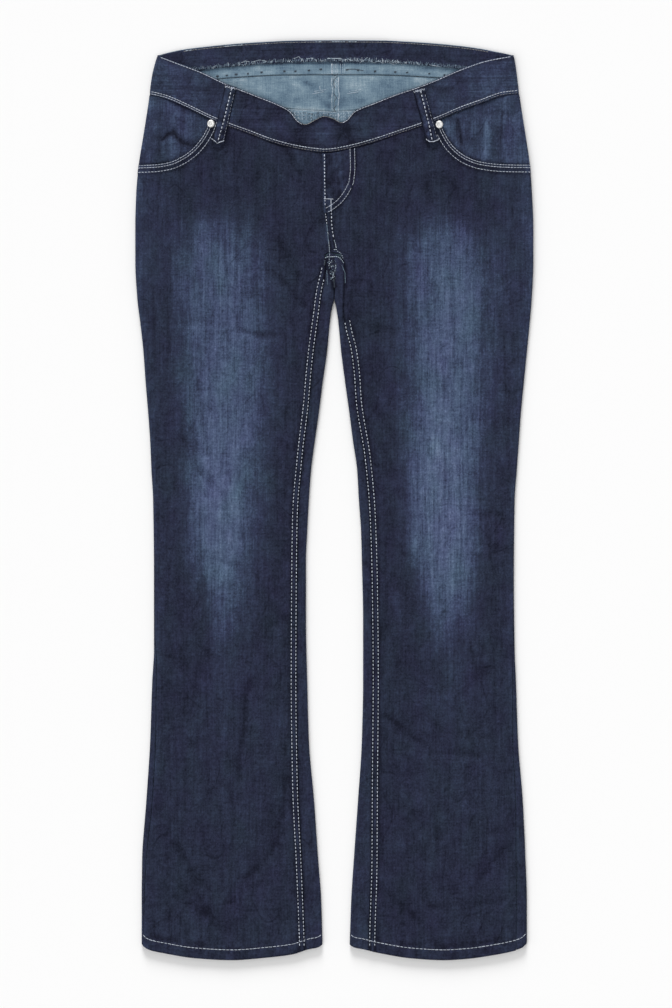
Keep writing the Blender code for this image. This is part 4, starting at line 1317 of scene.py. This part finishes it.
def fly_row(distance):
    """A row of stitches so far inside the fly's curved edge."""
    levels = np.linspace(415, 338.5, 60)
    return beside(np.stack([fly_edge(levels), levels], -1), -distance)


def mock_fly():
    height = CLOTH / 2 + GAP + 0.1 + FLY

    def rows(x, y, *sizes):
        """Lines along rows of stitches, each an amount, how far inside the edge it is and its width."""
        return lines(*((amount, path_distance(x, y, fly_row(at)), width) for amount, at, width in sizes))

    def place(column, rung):
        left = -14.2 + 1.7 * rung
        y = FLY_FOOT + (FLY_TOP - FLY_FOOT) * (1 - rung)
        x = left + (fly_edge(y) - left) * column
        top = front_seam(x) - GAP * 2
        y = top + rung * (FLY_FOOT - top)
        edge = np.minimum(x - left, fly_edge(y) - x)
        sewn = rows(x, y, *((0.18, at, 0.8) for at in FLY_ROWS))
        raised = 0.12 * wander(x, y, 7, 11, 121) + folds_at(FLY_CREASES, x, y) * step(edge, 0, 3)
        return over_front(x, y, height + raised - 0.3 * bump_at(edge, 0.9) - sewn)

    def tone(x, y, _):
        # The creases are painted as shade and highlight, and the rows of stitches and the fly's edge as
        # painted shade.
        worn = folds_at(FLY_CREASES, x, y) * 2.6 + 0.9 * wander(x, y, 5, 9, 122)
        worn = worn + 1.0 * wander(x, y, 3.2, 4.2, 123) + lines((1.0, x + 12.5, 2.0), (-1.3, x + 9.2, 1.2))
        return 0.06 + 0 * x, worn - rows(x, y, (1.4, 3.8, 1.5), (1.4, 0, 0.8), (1.0, 8.6, 1.5))

    add_cloth("mock_fly", [patch(26, 48, place)], FLY, tone)


def loop_frame(side):
    """Start, end and the direction across of a front belt loop."""
    start, end = (np.array(point) for point in LOOP_ENDS[side])
    along = (end - start) / np.linalg.norm(end - start)
    return start, end, np.array([-along[1], along[0]])


def front_loop(side):
    start, end, aside = loop_frame(side)
    foot = BAND / 2 + GAP + 0.35

    def place(column, rung):
        offset = LOOP_WIDTH * (column - 0.5)
        x, y = (start[k] + (end[k] - start[k]) * rung + aside[k] * offset for k in (0, 1))
        arch = LOOP * (1 - np.abs(2 * column - 1) ** 7) * 0.92 + 0.14 * wander(x, y, 4, 5, 131)
        pressed = lines((0.5, rung, 0.05), (0.5, 1 - rung, 0.05), (0.35, column - 0.80, 0.03))
        sewn = lines(*((0.2, column - row, 0.05) for row in LOOP_ROWS))
        return over_front(x, y, foot + arch - pressed - sewn)

    def tone(x, y, _):
        offset = ((x - start[0]) * aside[0] + (y - start[1]) * aside[1]) / LOOP_WIDTH + 0.5
        # The loop's two edges and its two rows of stitches are painted dark as shade; the lighter stripe is
        # wear.
        worn = 1.9 * wander(x, y, 2.6, 3.4, 132) + lines(
            (0.7, offset - 0.30, 0.12),
            (-2.0, offset - 0.56, 0.06),
            (-1.4, offset - 0.8, 0.06),
            (-2.6, offset - 0.03, 0.07),
            (-2.0, offset - 0.99, 0.05),
        )
        return 0.12 + 0 * x, worn

    add_cloth("belt_loop_front_" + side, [patch(16, 44, place)], 1.0, tone)


def back_loop(side):
    middle = BACK_LOOP_MIDDLES[side]
    top = float(back_top(middle))

    def place(column, rung):
        x = middle + BACK_LOOP_WIDTH * (column - 0.5)
        y = top + (BACK_LOOP_FOOT - top) * rung
        edge = 0.4 * np.abs(2 * column - 1) ** 8
        return np.stack([x, y, UNDER_LIFT * 0.5 + edge + 0.1 * np.abs(wander(x, y, 5, 6, 141))], -1)

    def tone(x, y, _):
        return 0.12 + 0 * x, 0.8 * wander(x, y, 4, 6, 142)

    add_cloth("belt_loop_back_" + side, [patch(12, 30, place, -1)], BACK_LOOP - 0.3, tone)


def back_pocket_outline(side, column, rung):
    size = BACK_POCKET
    half = (size["width"] + (size["foot_width"] - size["width"]) * rung) / 2
    out = 2 * column - 1
    length = size["side"] + size["point"] * (1 - np.abs(out))
    return SIDES[side] * size["middle"] + half * out, size["top"] - length * rung


def back_pocket(side):
    def place(column, rung):
        x, y = back_pocket_outline(side, column, rung)
        turned = 0.12 * (1 - step(rung, 0.11, 0.13))
        cloth = UNDER_LIFT * 0.5 + 0.1 + 0.1 * np.abs(wander(x, y, 16, 16, 151)) - turned
        return np.stack([x, y, cloth], -1)

    def tone(x, y, _):
        middle = SIDES[side] * BACK_POCKET["middle"]
        fade = 0.16 + 0.5 * fade_at(x * 0 + SIDES[side] * 118, y * 0 + 60) * bump_at(x - middle, 46)
        return fade * bump_at(y - 365, 70), 0.7 * wander(x, y, 9, 9, 152)

    add_cloth("back_pocket_" + side, [patch(46, 48, place, -1)], POCKET - 0.35, tone)


# ---------------------------------------------------------------- rivets
RIVET_PROFILE = (
    (0.0, 0.80), (0.16, 0.84), (0.26, 0.72), (0.40, 0.78), (0.58, 0.98), (0.74, 1.00), (0.86, 0.88),
    (0.95, 0.62), (1.0, 0.30), (0.97, 0.0), (0.0, 0.0),
)


def rivet(side):
    """A domed cap with a rolled rim and a ringed middle, spun about its axis."""
    low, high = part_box("rivet_" + side)
    middle = (low + high) / 2
    radius = (high.x - low.x) / 2
    height = high.z - low.z
    shape = bmesh.new()
    corners = [shape.verts.new((r * radius, 0, z * height)) for r, z in RIVET_PROFILE]
    edges = [shape.edges.new(pair) for pair in zip(corners, corners[1:])]
    bmesh.ops.spin(
        shape, geom=corners + edges, cent=(0, 0, 0), axis=(0, 0, 1), angle=math.tau, steps=40, use_merge=True
    )
    bmesh.ops.remove_doubles(shape, verts=shape.verts[:], dist=1e-6)
    bmesh.ops.translate(shape, verts=shape.verts[:], vec=(middle.x, middle.y, low.z))
    bmesh.ops.recalc_face_normals(shape, faces=shape.faces[:])
    name = "rivet_cap_" + side
    stand_for(add_piece(name, mesh_from(shape, name), ["Nickel"]), "rivet_" + side)


# ---------------------------------------------------------------- threads
def shell_tree(names):
    """The finished faces of some pieces, to lay threads on."""
    graph = bpy.context.evaluated_depsgraph_get()
    corners = []
    faces = []
    for name in names:
        shell = bpy.data.objects[name + "_cloth"].evaluated_get(graph)
        mesh = shell.to_mesh()
        start = len(corners)
        corners.extend(vertex.co.copy() for vertex in mesh.vertices)
        faces.extend([start + index for index in face.vertices] for face in mesh.polygons)
        shell.to_mesh_clear()
    return BVHTree.FromPolygons(corners, faces)


def one_thread():
    """A short fat thread along X, with a few dozen faces, one unit long, wide and high."""
    shape = bmesh.new()
    bmesh.ops.create_uvsphere(shape, u_segments=6, v_segments=5, radius=0.5)
    bmesh.ops.rotate(
        shape, verts=shape.verts[:], cent=(0, 0, 0), matrix=Matrix.Rotation(math.pi / 2, 3, "Y")
    )
    for vertex in shape.verts:
        vertex.co.x = math.copysign(min(abs(vertex.co.x) * 1.25, 0.5), vertex.co.x)
    mesh = mesh_from(shape, "one_thread")
    mesh.shade_smooth()
    return mesh


def even_points(path, pitch):
    """Points a pitch apart along a path, and the way it goes there."""
    path = np.array(path, float)
    lengths = np.concatenate([[0], np.cumsum(np.hypot(*np.diff(path, axis=0).T))])
    count = max(int(round(lengths[-1] / pitch)), 1)
    at = (np.arange(count) + 0.5) * lengths[-1] / count

    def points(at):
        return np.stack([np.interp(at, lengths, path[:, k]) for k in (0, 1)], -1)

    return points(at), points(at + 0.5) - points(at - 0.5)


def add_threads(name, rows, pieces, finish="Thread", up=1, seed=1):
    """Rows of stitches as one piece. Each row is (path, pitch, length, width)."""
    tree = shell_tree(pieces)
    draw = np.random.default_rng(seed)
    thread = one_thread()
    shape = bmesh.new()
    for path, pitch, length, width in rows:
        for (x, y), (dx, dy) in zip(*even_points(path, pitch)):
            slip, turn, size = draw.uniform(-1, 1, 3)
            start = Vector((x * MM, y * MM, RAY_START * up))
            hit, out, _, _ = tree.ray_cast(start, Vector((0, 0, -up)))
            if hit is None:
                continue
            out = out if out.z * up > 0 else -out
            ahead = Matrix.Rotation(turn * 0.07, 3, "Z") @ Vector((dx, dy, 0)).normalized()
            ahead = (ahead - out * ahead.dot(out)).normalized()
            turned = Matrix((ahead, out.cross(ahead), out)).transposed().to_4x4()
            scale = (length * (1 + 0.12 * size), width * (1 + 0.1 * slip), width * THREAD_RISE)
            laid = Matrix.Translation(hit + out * width * 0.12 * MM) @ turned
            copy = thread.copy()
            copy.transform(laid @ Matrix.Diagonal((*(s * MM for s in scale), 1)))
            shape.from_mesh(copy)
            bpy.data.meshes.remove(copy)
    bpy.data.meshes.remove(thread)
    made = add_piece(name, mesh_from(shape, name), [finish])
    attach(made, BODY)


def along_x(level, start, end, shift=0.0, count=60):
    """A path along a curve of levels, moved down by shift."""
    xs = np.linspace(start, end, count)
    return np.stack([xs, level(xs) - shift], -1)


def beside(path, distance):
    """A path moved sideways, to the left of its own direction where distance is above 0."""
    path = np.array(path, float)
    ahead = np.gradient(path, axis=0)
    ahead = ahead / np.linalg.norm(ahead, axis=1, keepdims=True)
    return path + distance * np.stack([-ahead[:, 1], ahead[:, 0]], -1)


BOLD = (4.4, 2.5, 1.02)  # pitch, length and width of a stitch down the legs
LONG = (4.6, 4.0, 0.75)  # round the hems
SHORT = (3.4, 3.0, 0.66)  # and along the waist and pockets
RAY_START = 30 * MM  # from here threads are dropped onto the cloth

# Where the rows begin that run down the inseams, and both ends of the hems' rows.
INSEAM_ROWS = ((ROW_NEAR, {"right": 261, "left": 210}), (ROW_FAR, {"right": 275, "left": 213}))
FRONT_HEM_ENDS = {"right": (-226, -15.5), "left": (19.5, 226)}
BACK_HEM_ENDS = {"right": (-224, -17), "left": (21, 224)}

# Pieces that the threads at the centre and inside the waist lie on.
PANELS = ["front_panel_left", "front_panel_right", "back_panel_left", "back_panel_right"]
INSIDE = ["back_waistband", "back_waistband_facing", "back_yoke_left", "back_yoke_right", *PANELS[2:]]


def waist_threads():
    rows = [
        (along_x(front_top, -205, -38, 1.2), 3.5, 3.2, 0.82),
        (along_x(front_top, 10, 208, 1.2), 3.5, 3.2, 0.82),
        (along_x(front_seam, -216, 216, -4.4, 90), 3.5, 3.1, 0.86),
        (along_x(front_seam, -216, -142, -1.9, 30), *SHORT),
    ]
    faint = [(along_x(front_seam, -142, 216, -1.9), 3.6, 2.6, 0.42)]
    rolled = [(along_x(front_top, -38, 10, 0.5, 30), 3.3, 3.0, 0.55)]
    add_threads("threads_front_waistband", rows, ["front_waistband"], seed=201)
    add_threads("threads_front_waistband_faint", faint, ["front_waistband"], "Thread grey", seed=208)
    add_threads("threads_rolled_edge", rolled, ["front_waistband"], "Thread grey", seed=207)


def pocket_threads(side):
    rows = []
    for distance, size in zip(POCKET_ROWS, (SHORT, SHORT, (3.8, 3.0, 0.66))):
        rows.append((beside(pocket_path(side), SIDES[side] * distance), *size))
    add_threads("threads_pocket_" + side, rows, ["front_panel_" + side], seed=202)


def leg_threads(side):
    rows = []
    for distance, above in INSEAM_ROWS:
        levels = np.linspace(above[side], -527, 130)
        aside = distance - 2.0 * step(levels, 250, 275)
        if side == "left" and distance == ROW_NEAR:
            aside = aside - 0.6
        rows.append((np.stack([inseam[side](levels) + SIDES[side] * aside, levels], -1), *BOLD))
    rows.append((along_x(hem[side], *FRONT_HEM_ENDS[side], 1.8 - HEM_DEPTH), *LONG))
    add_threads("threads_leg_" + side, rows, ["front_panel_" + side, "back_panel_" + side], seed=203)


def centre_threads():
    rows = [
        (((-11.2, 346), (-10.4, 338), (-8.7, 325)), 3.3, 2.1, 1.1),
        (((-3.4, 340), (-3.2, 326), (-2.1, 317), (-0.9, 309.5)), 4.3, 2.4, 1.25),
    ]
    add_threads("threads_centre_front", rows, PANELS, seed=204)
    arch = ((-11, 285.4), (-8.5, 286.8), (3.3, 287.2), (6.7, 285.6), (9.8, 281.8), (11.2, 279.4))
    rows = [
        (((-8.6, 324), (-7.6, 316), (-6.7, 306)), 2.6, 2.2, 0.55),
        (((-6.6, 305.5), (-5.9, 298), (-5.5, 288)), 2.2, 2.2, 0.6),
        (((-0.2, 307), (1.4, 302), (2.3, 297)), 2.4, 2.3, 0.7),
        (((-0.6, 295.4), (3.2, 295.4)), 1.6, 2.0, 0.8),
        (arch, 2.1, 1.7, 1.0),
        (((3, 294), (6.7, 292), (9.0, 288.4), (10.6, 284.6)), 2.6, 1.4, 0.8),
        (((-6.0, 285.0), (-6.0, 280), (-6.4, 275.5)), 2.2, 1.7, 0.7),
        (((1.6, 278), (1.4, 272), (-1.6, 266.5), (-2.6, 261)), 2.8, 2.2, 0.7),
    ]
    add_threads("threads_crotch", rows, PANELS, "Thread pale", seed=209)
    draw = np.random.default_rng(310)
    rail = [
        (((-8.9, 325), (-7.9, 316), (-6.9, 305)), 2.0, 2.4, 1.2),
        (((9, 277), (12.6, 268), (13, 256)), 2.2, 2.6, 0.8),
        (((-8.8, 271), (-8.4, 262), (-8.0, 254)), 2.6, 2.4, 0.9),
    ]
    # The dark tufts mottle the bunched seam and, where they crowd, stand for the shade among its folds:
    # painted shade.
    dark = [(((-0.6, 261), (0.2, 251)), 1.5, 2.2, 2.6), (((-11, 283), (-11.8, 277)), 2.4, 2.4, 1.8)]
    light = []
    for group, count in ((dark, 44), (light, 16), (rail, 20)):
        for _ in range(count):
            down = draw.uniform(0, 1)
            x = -2.6 + 1.6 * down + draw.uniform(-5.6, 5.6) * (1 - 0.55 * down)
            y = 283.5 - 25 * down
            turn = draw.uniform(-0.6, 0.6)
            tuft = ((x - turn, y - 0.7), (x + turn, y + 0.7))
            group.append((tuft, ONE_STITCH, draw.uniform(0.9, 1.5), draw.uniform(0.6, 1.0)))
    add_threads("threads_seam_rail", rail, PANELS, "Thread blue", seed=210)
    add_threads("threads_bunched_seam", dark, PANELS, "Thread navy", seed=211)
    add_threads("threads_bunched_light", light, PANELS, "Thread pale", seed=212)


def fly_threads():
    rows = [
        (((-11.7, 408.5), (-11.4, 378), (-10.8, 347)), 4.2, 2.4, 1.15),
        *((fly_row(distance), *SHORT) for distance in FLY_ROWS),
        (((-12.0, 355.4), (-1.4, 355.0)), 1.3, 2.2, 0.9),
        (((-3.9, 355), (-3.7, 340.5)), 1.3, 2.2, 0.9),
    ]
    add_threads("threads_fly", rows, ["mock_fly"], seed=205)


def loop_threads(side):
    start, end, aside = loop_frame(side)

    def path(*points):
        """A path from shares of the loop's length and width."""
        return [start + (end - start) * rung + aside * LOOP_WIDTH * (column - 0.5) for rung, column in points]

    foot = {
        "right": ((0.955, -0.12), (1.01, 0.44), (0.945, 0.95)),
        "left": ((0.92, 0.0), (0.98, 0.22), (1.0, 0.55), (0.99, 0.95), (0.96, 1.1)),
    }
    rows = [
        (path((0.03, 0.62), (0.6, 0.57), (0.97, 0.46)), 4.6, 2.7, 1.35),
        (path((0.12, 0.90), (0.94, 0.90)), 4.0, 2.4, 0.36),
        (path(*((0.02 + 0.022 * (k % 2), 0.02 + k * 0.096) for k in range(11))), 1.5, 2.3, 0.7),
        (path(*foot[side]), 1.7, 1.7, 1.15),
    ]
    pieces = ["belt_loop_front_" + side, "front_waistband", "front_panel_" + side]
    add_threads("threads_loop_" + side, rows, pieces, seed=206)


def inside_threads():
    """What is sewn inside the back: the strip's frayed overlock, the seat seam and small marks."""
    draw = np.random.default_rng(301)
    hairs = {"Thread pale": [], "Thread blue": [], "Thread navy": []}
    for x in np.arange(-172, 164, 0.8):
        x = x + draw.uniform(-0.5, 0.5)
        tall = draw.uniform(1.6, 4.8)
        low = float(strip_edge(x)) + draw.uniform(-0.8, 0.8)
        hair = ((x, low + tall), (x + draw.uniform(-1.8, 1.8), low))
        share = next(share for end, share in FRAY if x < end)
        kind = "Thread pale" if draw.uniform() < share else "Thread blue"
        hairs[kind].append((hair, ONE_STITCH, tall * 1.05, draw.uniform(0.35, 0.6)))
    hairs["Thread pale"] += [(path, 2.4, 2.6, 0.55) for path in LOOSE_THREADS]
    for x in np.arange(-54, 26, 1.1):
        top = float(yoke_seam(x)) - draw.uniform(0.5, 3)
        hair = ((x, top), (x + draw.uniform(-1, 1), top - 11))
        kind = draw.choice(["Thread pale", "Thread blue", "Thread navy"], p=[0.34, 0.4, 0.26])
        hairs[kind].append((hair, draw.uniform(3, 5), draw.uniform(1.4, 3.2), draw.uniform(0.5, 0.8)))
    hairs["Thread pale"].append((along_x(yoke_seam, -54, 24, 0.9, 30), 2.4, 2.6, 0.6))
    seat = [
        (((-2.9, 515), (-2.6, 503)), 2.3, 2.8, 1.6),
        (((-2.6, 499), (-3.4, 491), (-1.8, 484), (-3.2, 474), (-2.6, 461)), 2.4, 2.6, 1.0),
        (((5.2, 499), (4.4, 488), (5.8, 478), (4.6, 467), (5.0, 455), (4.4, 447)), 2.4, 2.6, 1.1),
        (((-8, 521.2), (7.5, 521.0)), 1.5, 2.4, 0.9),
        (((-47.6, 454.3), (-34.6, 454.3)), 3.0, 3.0, 0.5),
        (((-1, 498), (3.6, 494), (-0.6, 490), (3.0, 486)), 2.2, 2.4, 0.7),
        *((((x, 515), (x + 0.3, 503.5)), 3.0, 2.8, 0.45) for x in (-0.6, 1.2, 3.0, 7.2, 9.6, 12.0)),
    ]
    for middle in (-18.6, 22.5):
        seat.append((((middle - 7, 479.6), (middle + 6, 482.0)), 2.2, 3.0, 0.65))
        seat.append((((middle - 5, 482.4), (middle + 9, 484.6)), 2.2, 3.0, 0.55))
    seat.append((((-17.5, 488.5), (-16.4, 483)), 2.2, 2.6, 0.5))
    marks = hairs["Thread navy"]
    for x in NEEDLE_MARKS:
        share = 0.28 + 0.15 * float(bump_at(x, 34))
        level = float(back_seam(x)) * (1 - share) + float(strip_edge(x)) * share + draw.uniform(-0.5, 0.5)
        mark = ((x - 1.3, level), (x + 1.3, level + 0.5))
        marks.append((mark, ONE_STITCH, draw.uniform(2.2, 3.4), draw.uniform(1.6, 2.3)))
    marks.append((((16, 508.6), (24, 508.8), (34, 507)), 1.5, 2.4, 0.9))
    marks += [(path, 1.4, 2.2, 0.7) for path in SEAT_TWISTS]
    add_threads("threads_overlock", hairs["Thread pale"], INSIDE, "Thread pale", seed=302)
    add_threads("threads_overlock_dyed", hairs["Thread blue"], INSIDE, "Thread blue", seed=308)
    add_threads("threads_seat_inside", seat, INSIDE, "Thread pale", seed=303)
    add_threads("threads_needle_marks", marks, INSIDE, "Thread navy", seed=304)


def back_threads():
    """Underneath: pockets, yokes, seat seam, waistband, loops and hems."""
    for side in SIDES:
        pocket = []
        for inset in (0.014, 0.055):
            far = 1 - inset
            pocket.append(((inset, 0.0), (inset, far), (0.5, 1 - inset * 1.2), (far, far), (far, 0.0)))
        pocket += [((0.02, share), (0.98, share)) for share in (0.02, 0.115)]
        rows = []
        for corners in pocket:
            path = [back_pocket_outline(side, np.array(u), np.array(v)) for u, v in corners]
            rows.append((np.array(path, float), *SHORT))
        add_threads("threads_back_pocket_" + side, rows, ["back_pocket_" + side], up=-1, seed=401)
        ends = SIDES[side] * 4, SIDES[side] * 219
        rows = [(along_x(yoke_seam, *ends, shift), *SHORT) for shift in (1.6, 7.2)]
        rows.append((along_x(hem[side], *BACK_HEM_ENDS[side], -(HEM_DEPTH + 0.6)), *LONG))
        if side == "left":
            rows += [(np.stack([np.full(40, d), np.linspace(455, 262, 40)], -1), *SHORT) for d in (1.6, 7.4)]
        add_threads("threads_back_panel_" + side, rows, ["back_panel_" + side], up=-1, seed=402)
        middle = BACK_LOOP_MIDDLES[side]
        loop = [(((middle + d, 539), (middle + d, 486)), *SHORT) for d in (-4, 4)]
        loop += [(((middle - 5, y), (middle + 5, y)), 1.0, 2.2, 1.0) for y in (487.5, 538)]
        add_threads("threads_back_loop_" + side, loop, ["belt_loop_back_" + side], up=-1, seed=403)
    waist = [(along_x(back_top, -204, 206, 2.6, 90), *SHORT)]
    waist += [(along_x(back_seam, -215, 215, shift, 90), *SHORT) for shift in (-1.8, -4.7)]
    add_threads("threads_back_waistband", waist, ["back_waistband"], up=-1, seed=404)


def top_edge_threads():
    """The back's upper edge, seen from inside."""
    rows = [(along_x(back_top, -178, 182, 2.4, 90), 3.3, 3.0, 0.6)]
    add_threads("threads_back_edge", rows, ["back_waistband_facing"], "Thread grey", seed=305)
    bright = ((-23, -15), (-3, 13), (16, 27), (-130, -108), (-176, -168))
    rows = [(along_x(back_top, *ends, 2.2, 20), 3.3, 3.0, 0.85) for ends in bright]
    add_threads("threads_back_edge_bright", rows, ["back_waistband_facing"], "Thread pale", seed=306)


# ---------------------------------------------------------------- the stage
FLOOR_SIZE = 6
FLOOR_LEVEL = -0.0002  # clear of the cloth that lies on it
WORLD_LIGHT = 0.47
KEY_POWER = 2.6
FILL_POWER = 1.02
CAMERA_DISTANCE = 5.0
SENSOR = 36
PIXEL = 1.18  # millimetres that a pixel of the photograph shows
PHOTO_SIZE = (672, 1008)
MIDDLE_PIXEL = (334.3, 500.0)  # where the photograph shows the frame's origin


def add_sun(name, place, spread, power):
    """A wide soft light from far off, aimed at the middle."""
    light = bpy.data.lights.new(name, "SUN")
    light.angle = math.radians(spread)
    light.energy = power
    made = bpy.data.objects.new(name, light)
    made.location = place
    made.rotation_euler = (-Vector(place)).to_track_quat("-Z", "Y").to_euler()
    bpy.context.scene.collection.objects.link(made)


def add_stage():
    scene = bpy.context.scene
    shape = bmesh.new()
    bmesh.ops.create_grid(shape, x_segments=1, y_segments=1, size=FLOOR_SIZE)
    bmesh.ops.translate(shape, verts=shape.verts[:], vec=(0, 0, FLOOR_LEVEL))
    Finish("Floor").set(Base_Color=(0.95, 0.95, 0.95, 1), Roughness=0.9, Specular_IOR_Level=0.0)
    add_piece("floor", mesh_from(shape, "floor"), ["Floor"])

    world = bpy.data.worlds.new("Studio")
    world.use_nodes = True
    background = world.node_tree.nodes["Background"]
    background.inputs["Color"].default_value = (1, 1, 1, 1)
    background.inputs["Strength"].default_value = scene.jeans.stage_light
    scene.world = world
    add_sun("Key", (-0.2, 2.6, 1.05), 24, KEY_POWER)
    add_sun("Fill", (-1.6, -1.1, 2.4), 60, FILL_POWER)

    scene.view_settings.view_transform = "Standard"
    scene.view_settings.look = "None"
    camera = bpy.data.cameras.new("Camera")
    camera.sensor_width = SENSOR
    camera.lens = SENSOR * CAMERA_DISTANCE / (PHOTO_SIZE[1] * PIXEL * MM)
    camera.clip_end = 50
    x = (PHOTO_SIZE[0] / 2 - MIDDLE_PIXEL[0]) * PIXEL * MM
    y = (MIDDLE_PIXEL[1] - PHOTO_SIZE[1] / 2) * PIXEL * MM
    made = bpy.data.objects.new("Camera", camera)
    made.location = (x, y, CAMERA_DISTANCE + 0.007)
    scene.collection.objects.link(made)
    scene.camera = made


# ---------------------------------------------------------------- the add-on
class JeansSettings(bpy.types.PropertyGroup):
    """The thread's colour and the strength of the light all round, which a user would change."""

    thread_colour: FloatVectorProperty(
        name="Thread", description="Colour of the topstitching", subtype="COLOR", default=shown(216, 225, 241)
    )
    stage_light: FloatProperty(
        name="Light", description="Strength of the light all round", default=WORLD_LIGHT, min=0.0, max=4.0
    )


class JEANS_OT_finishes(bpy.types.Operator):
    """Makes the denim, thread and metal finishes"""

    bl_idname = "jeans.finishes"
    bl_label = "Finishes"

    def execute(self, context):
        make_denim("Denim")
        make_denim("Denim across", True)
        make_inside()
        light = tuple(context.scene.jeans.thread_colour)
        make_thread("Thread", light, tuple(0.42 * c for c in light))
        make_thread("Thread pale", shown(206, 217, 228), shown(122, 144, 162))
        make_thread("Thread blue", shown(116, 140, 160), shown(50, 66, 86))
        make_thread("Thread grey", shown(174, 174, 170), shown(92, 94, 98))
        make_thread("Thread navy", shown(44, 60, 78), shown(30, 38, 52))
        make_metal()
        return {"FINISHED"}


class JEANS_OT_front_panels(bpy.types.Operator):
    """Lays the two front panels over their solids"""

    bl_idname = "jeans.front_panels"
    bl_label = "Front panels"

    def execute(self, context):
        for side in SIDES:
            front_panel(side)
        return {"FINISHED"}


class JEANS_OT_back_panels(bpy.types.Operator):
    """Lays the back panels and yokes"""

    bl_idname = "jeans.back_panels"
    bl_label = "Back panels and yokes"

    def execute(self, context):
        for side in SIDES:
            back_panel(side)
            back_yoke(side)
        return {"FINISHED"}


class JEANS_OT_waistbands(bpy.types.Operator):
    """Lays the waistbands and the strip inside the back one"""

    bl_idname = "jeans.waistbands"
    bl_label = "Waistbands"

    def execute(self, context):
        front_waistband()
        back_waistband()
        back_waistband_facing()
        return {"FINISHED"}


class JEANS_OT_pockets(bpy.types.Operator):
    """Lays the front pocket facings and the back pockets"""

    bl_idname = "jeans.pockets"
    bl_label = "Pockets"

    def execute(self, context):
        for side in SIDES:
            pocket_facing(side)
            back_pocket(side)
        return {"FINISHED"}


class JEANS_OT_fly_and_loops(bpy.types.Operator):
    """Lays the mock fly and the belt loops"""

    bl_idname = "jeans.fly_and_loops"
    bl_label = "Fly and belt loops"

    def execute(self, context):
        mock_fly()
        for side in SIDES:
            front_loop(side)
            back_loop(side)
        return {"FINISHED"}


class JEANS_OT_rivets(bpy.types.Operator):
    """Sets the rivets at the pocket corners"""

    bl_idname = "jeans.rivets"
    bl_label = "Rivets"

    def execute(self, context):
        for side in SIDES:
            rivet(side)
        return {"FINISHED"}


class JEANS_OT_front_threads(bpy.types.Operator):
    """Sews the rows of stitches that show on the front and inside the waist"""

    bl_idname = "jeans.front_threads"
    bl_label = "Front stitches"

    def execute(self, context):
        waist_threads()
        centre_threads()
        fly_threads()
        for side in SIDES:
            pocket_threads(side)
            leg_threads(side)
            loop_threads(side)
        inside_threads()
        top_edge_threads()
        return {"FINISHED"}


class JEANS_OT_back_threads(bpy.types.Operator):
    """Sews the rows of stitches underneath"""

    bl_idname = "jeans.back_threads"
    bl_label = "Back stitches"

    def execute(self, context):
        back_threads()
        return {"FINISHED"}


class JEANS_OT_stage(bpy.types.Operator):
    """Adds the floor, light and camera"""

    bl_idname = "jeans.stage"
    bl_label = "Stage"

    def execute(self, context):
        add_stage()
        return {"FINISHED"}


OPERATORS = (
    JEANS_OT_finishes,
    JEANS_OT_front_panels,
    JEANS_OT_back_panels,
    JEANS_OT_waistbands,
    JEANS_OT_pockets,
    JEANS_OT_fly_and_loops,
    JEANS_OT_rivets,
    JEANS_OT_front_threads,
    JEANS_OT_back_threads,
    JEANS_OT_stage,
)


class JEANS_PT_panel(bpy.types.Panel):
    """Lists the steps in order"""

    bl_label = "Jeans"
    bl_space_type = "VIEW_3D"
    bl_region_type = "UI"
    bl_category = "Jeans"

    def draw(self, context):
        column = self.layout.column()
        column.prop(context.scene.jeans, "thread_colour")
        column.prop(context.scene.jeans, "stage_light")
        for operator in OPERATORS:
            column.operator(operator.bl_idname)


CLASSES = (JeansSettings, *OPERATORS, JEANS_PT_panel)


def register():
    for made in CLASSES:
        bpy.utils.register_class(made)
    bpy.types.Scene.jeans = PointerProperty(type=JeansSettings)


def unregister():
    del bpy.types.Scene.jeans
    for made in reversed(CLASSES):
        bpy.utils.unregister_class(made)


def main():
    register()
    for operator in OPERATORS:
        group, name = operator.bl_idname.split(".")
        getattr(getattr(bpy.ops, group), name)()


if __name__ == "__main__":
    main()
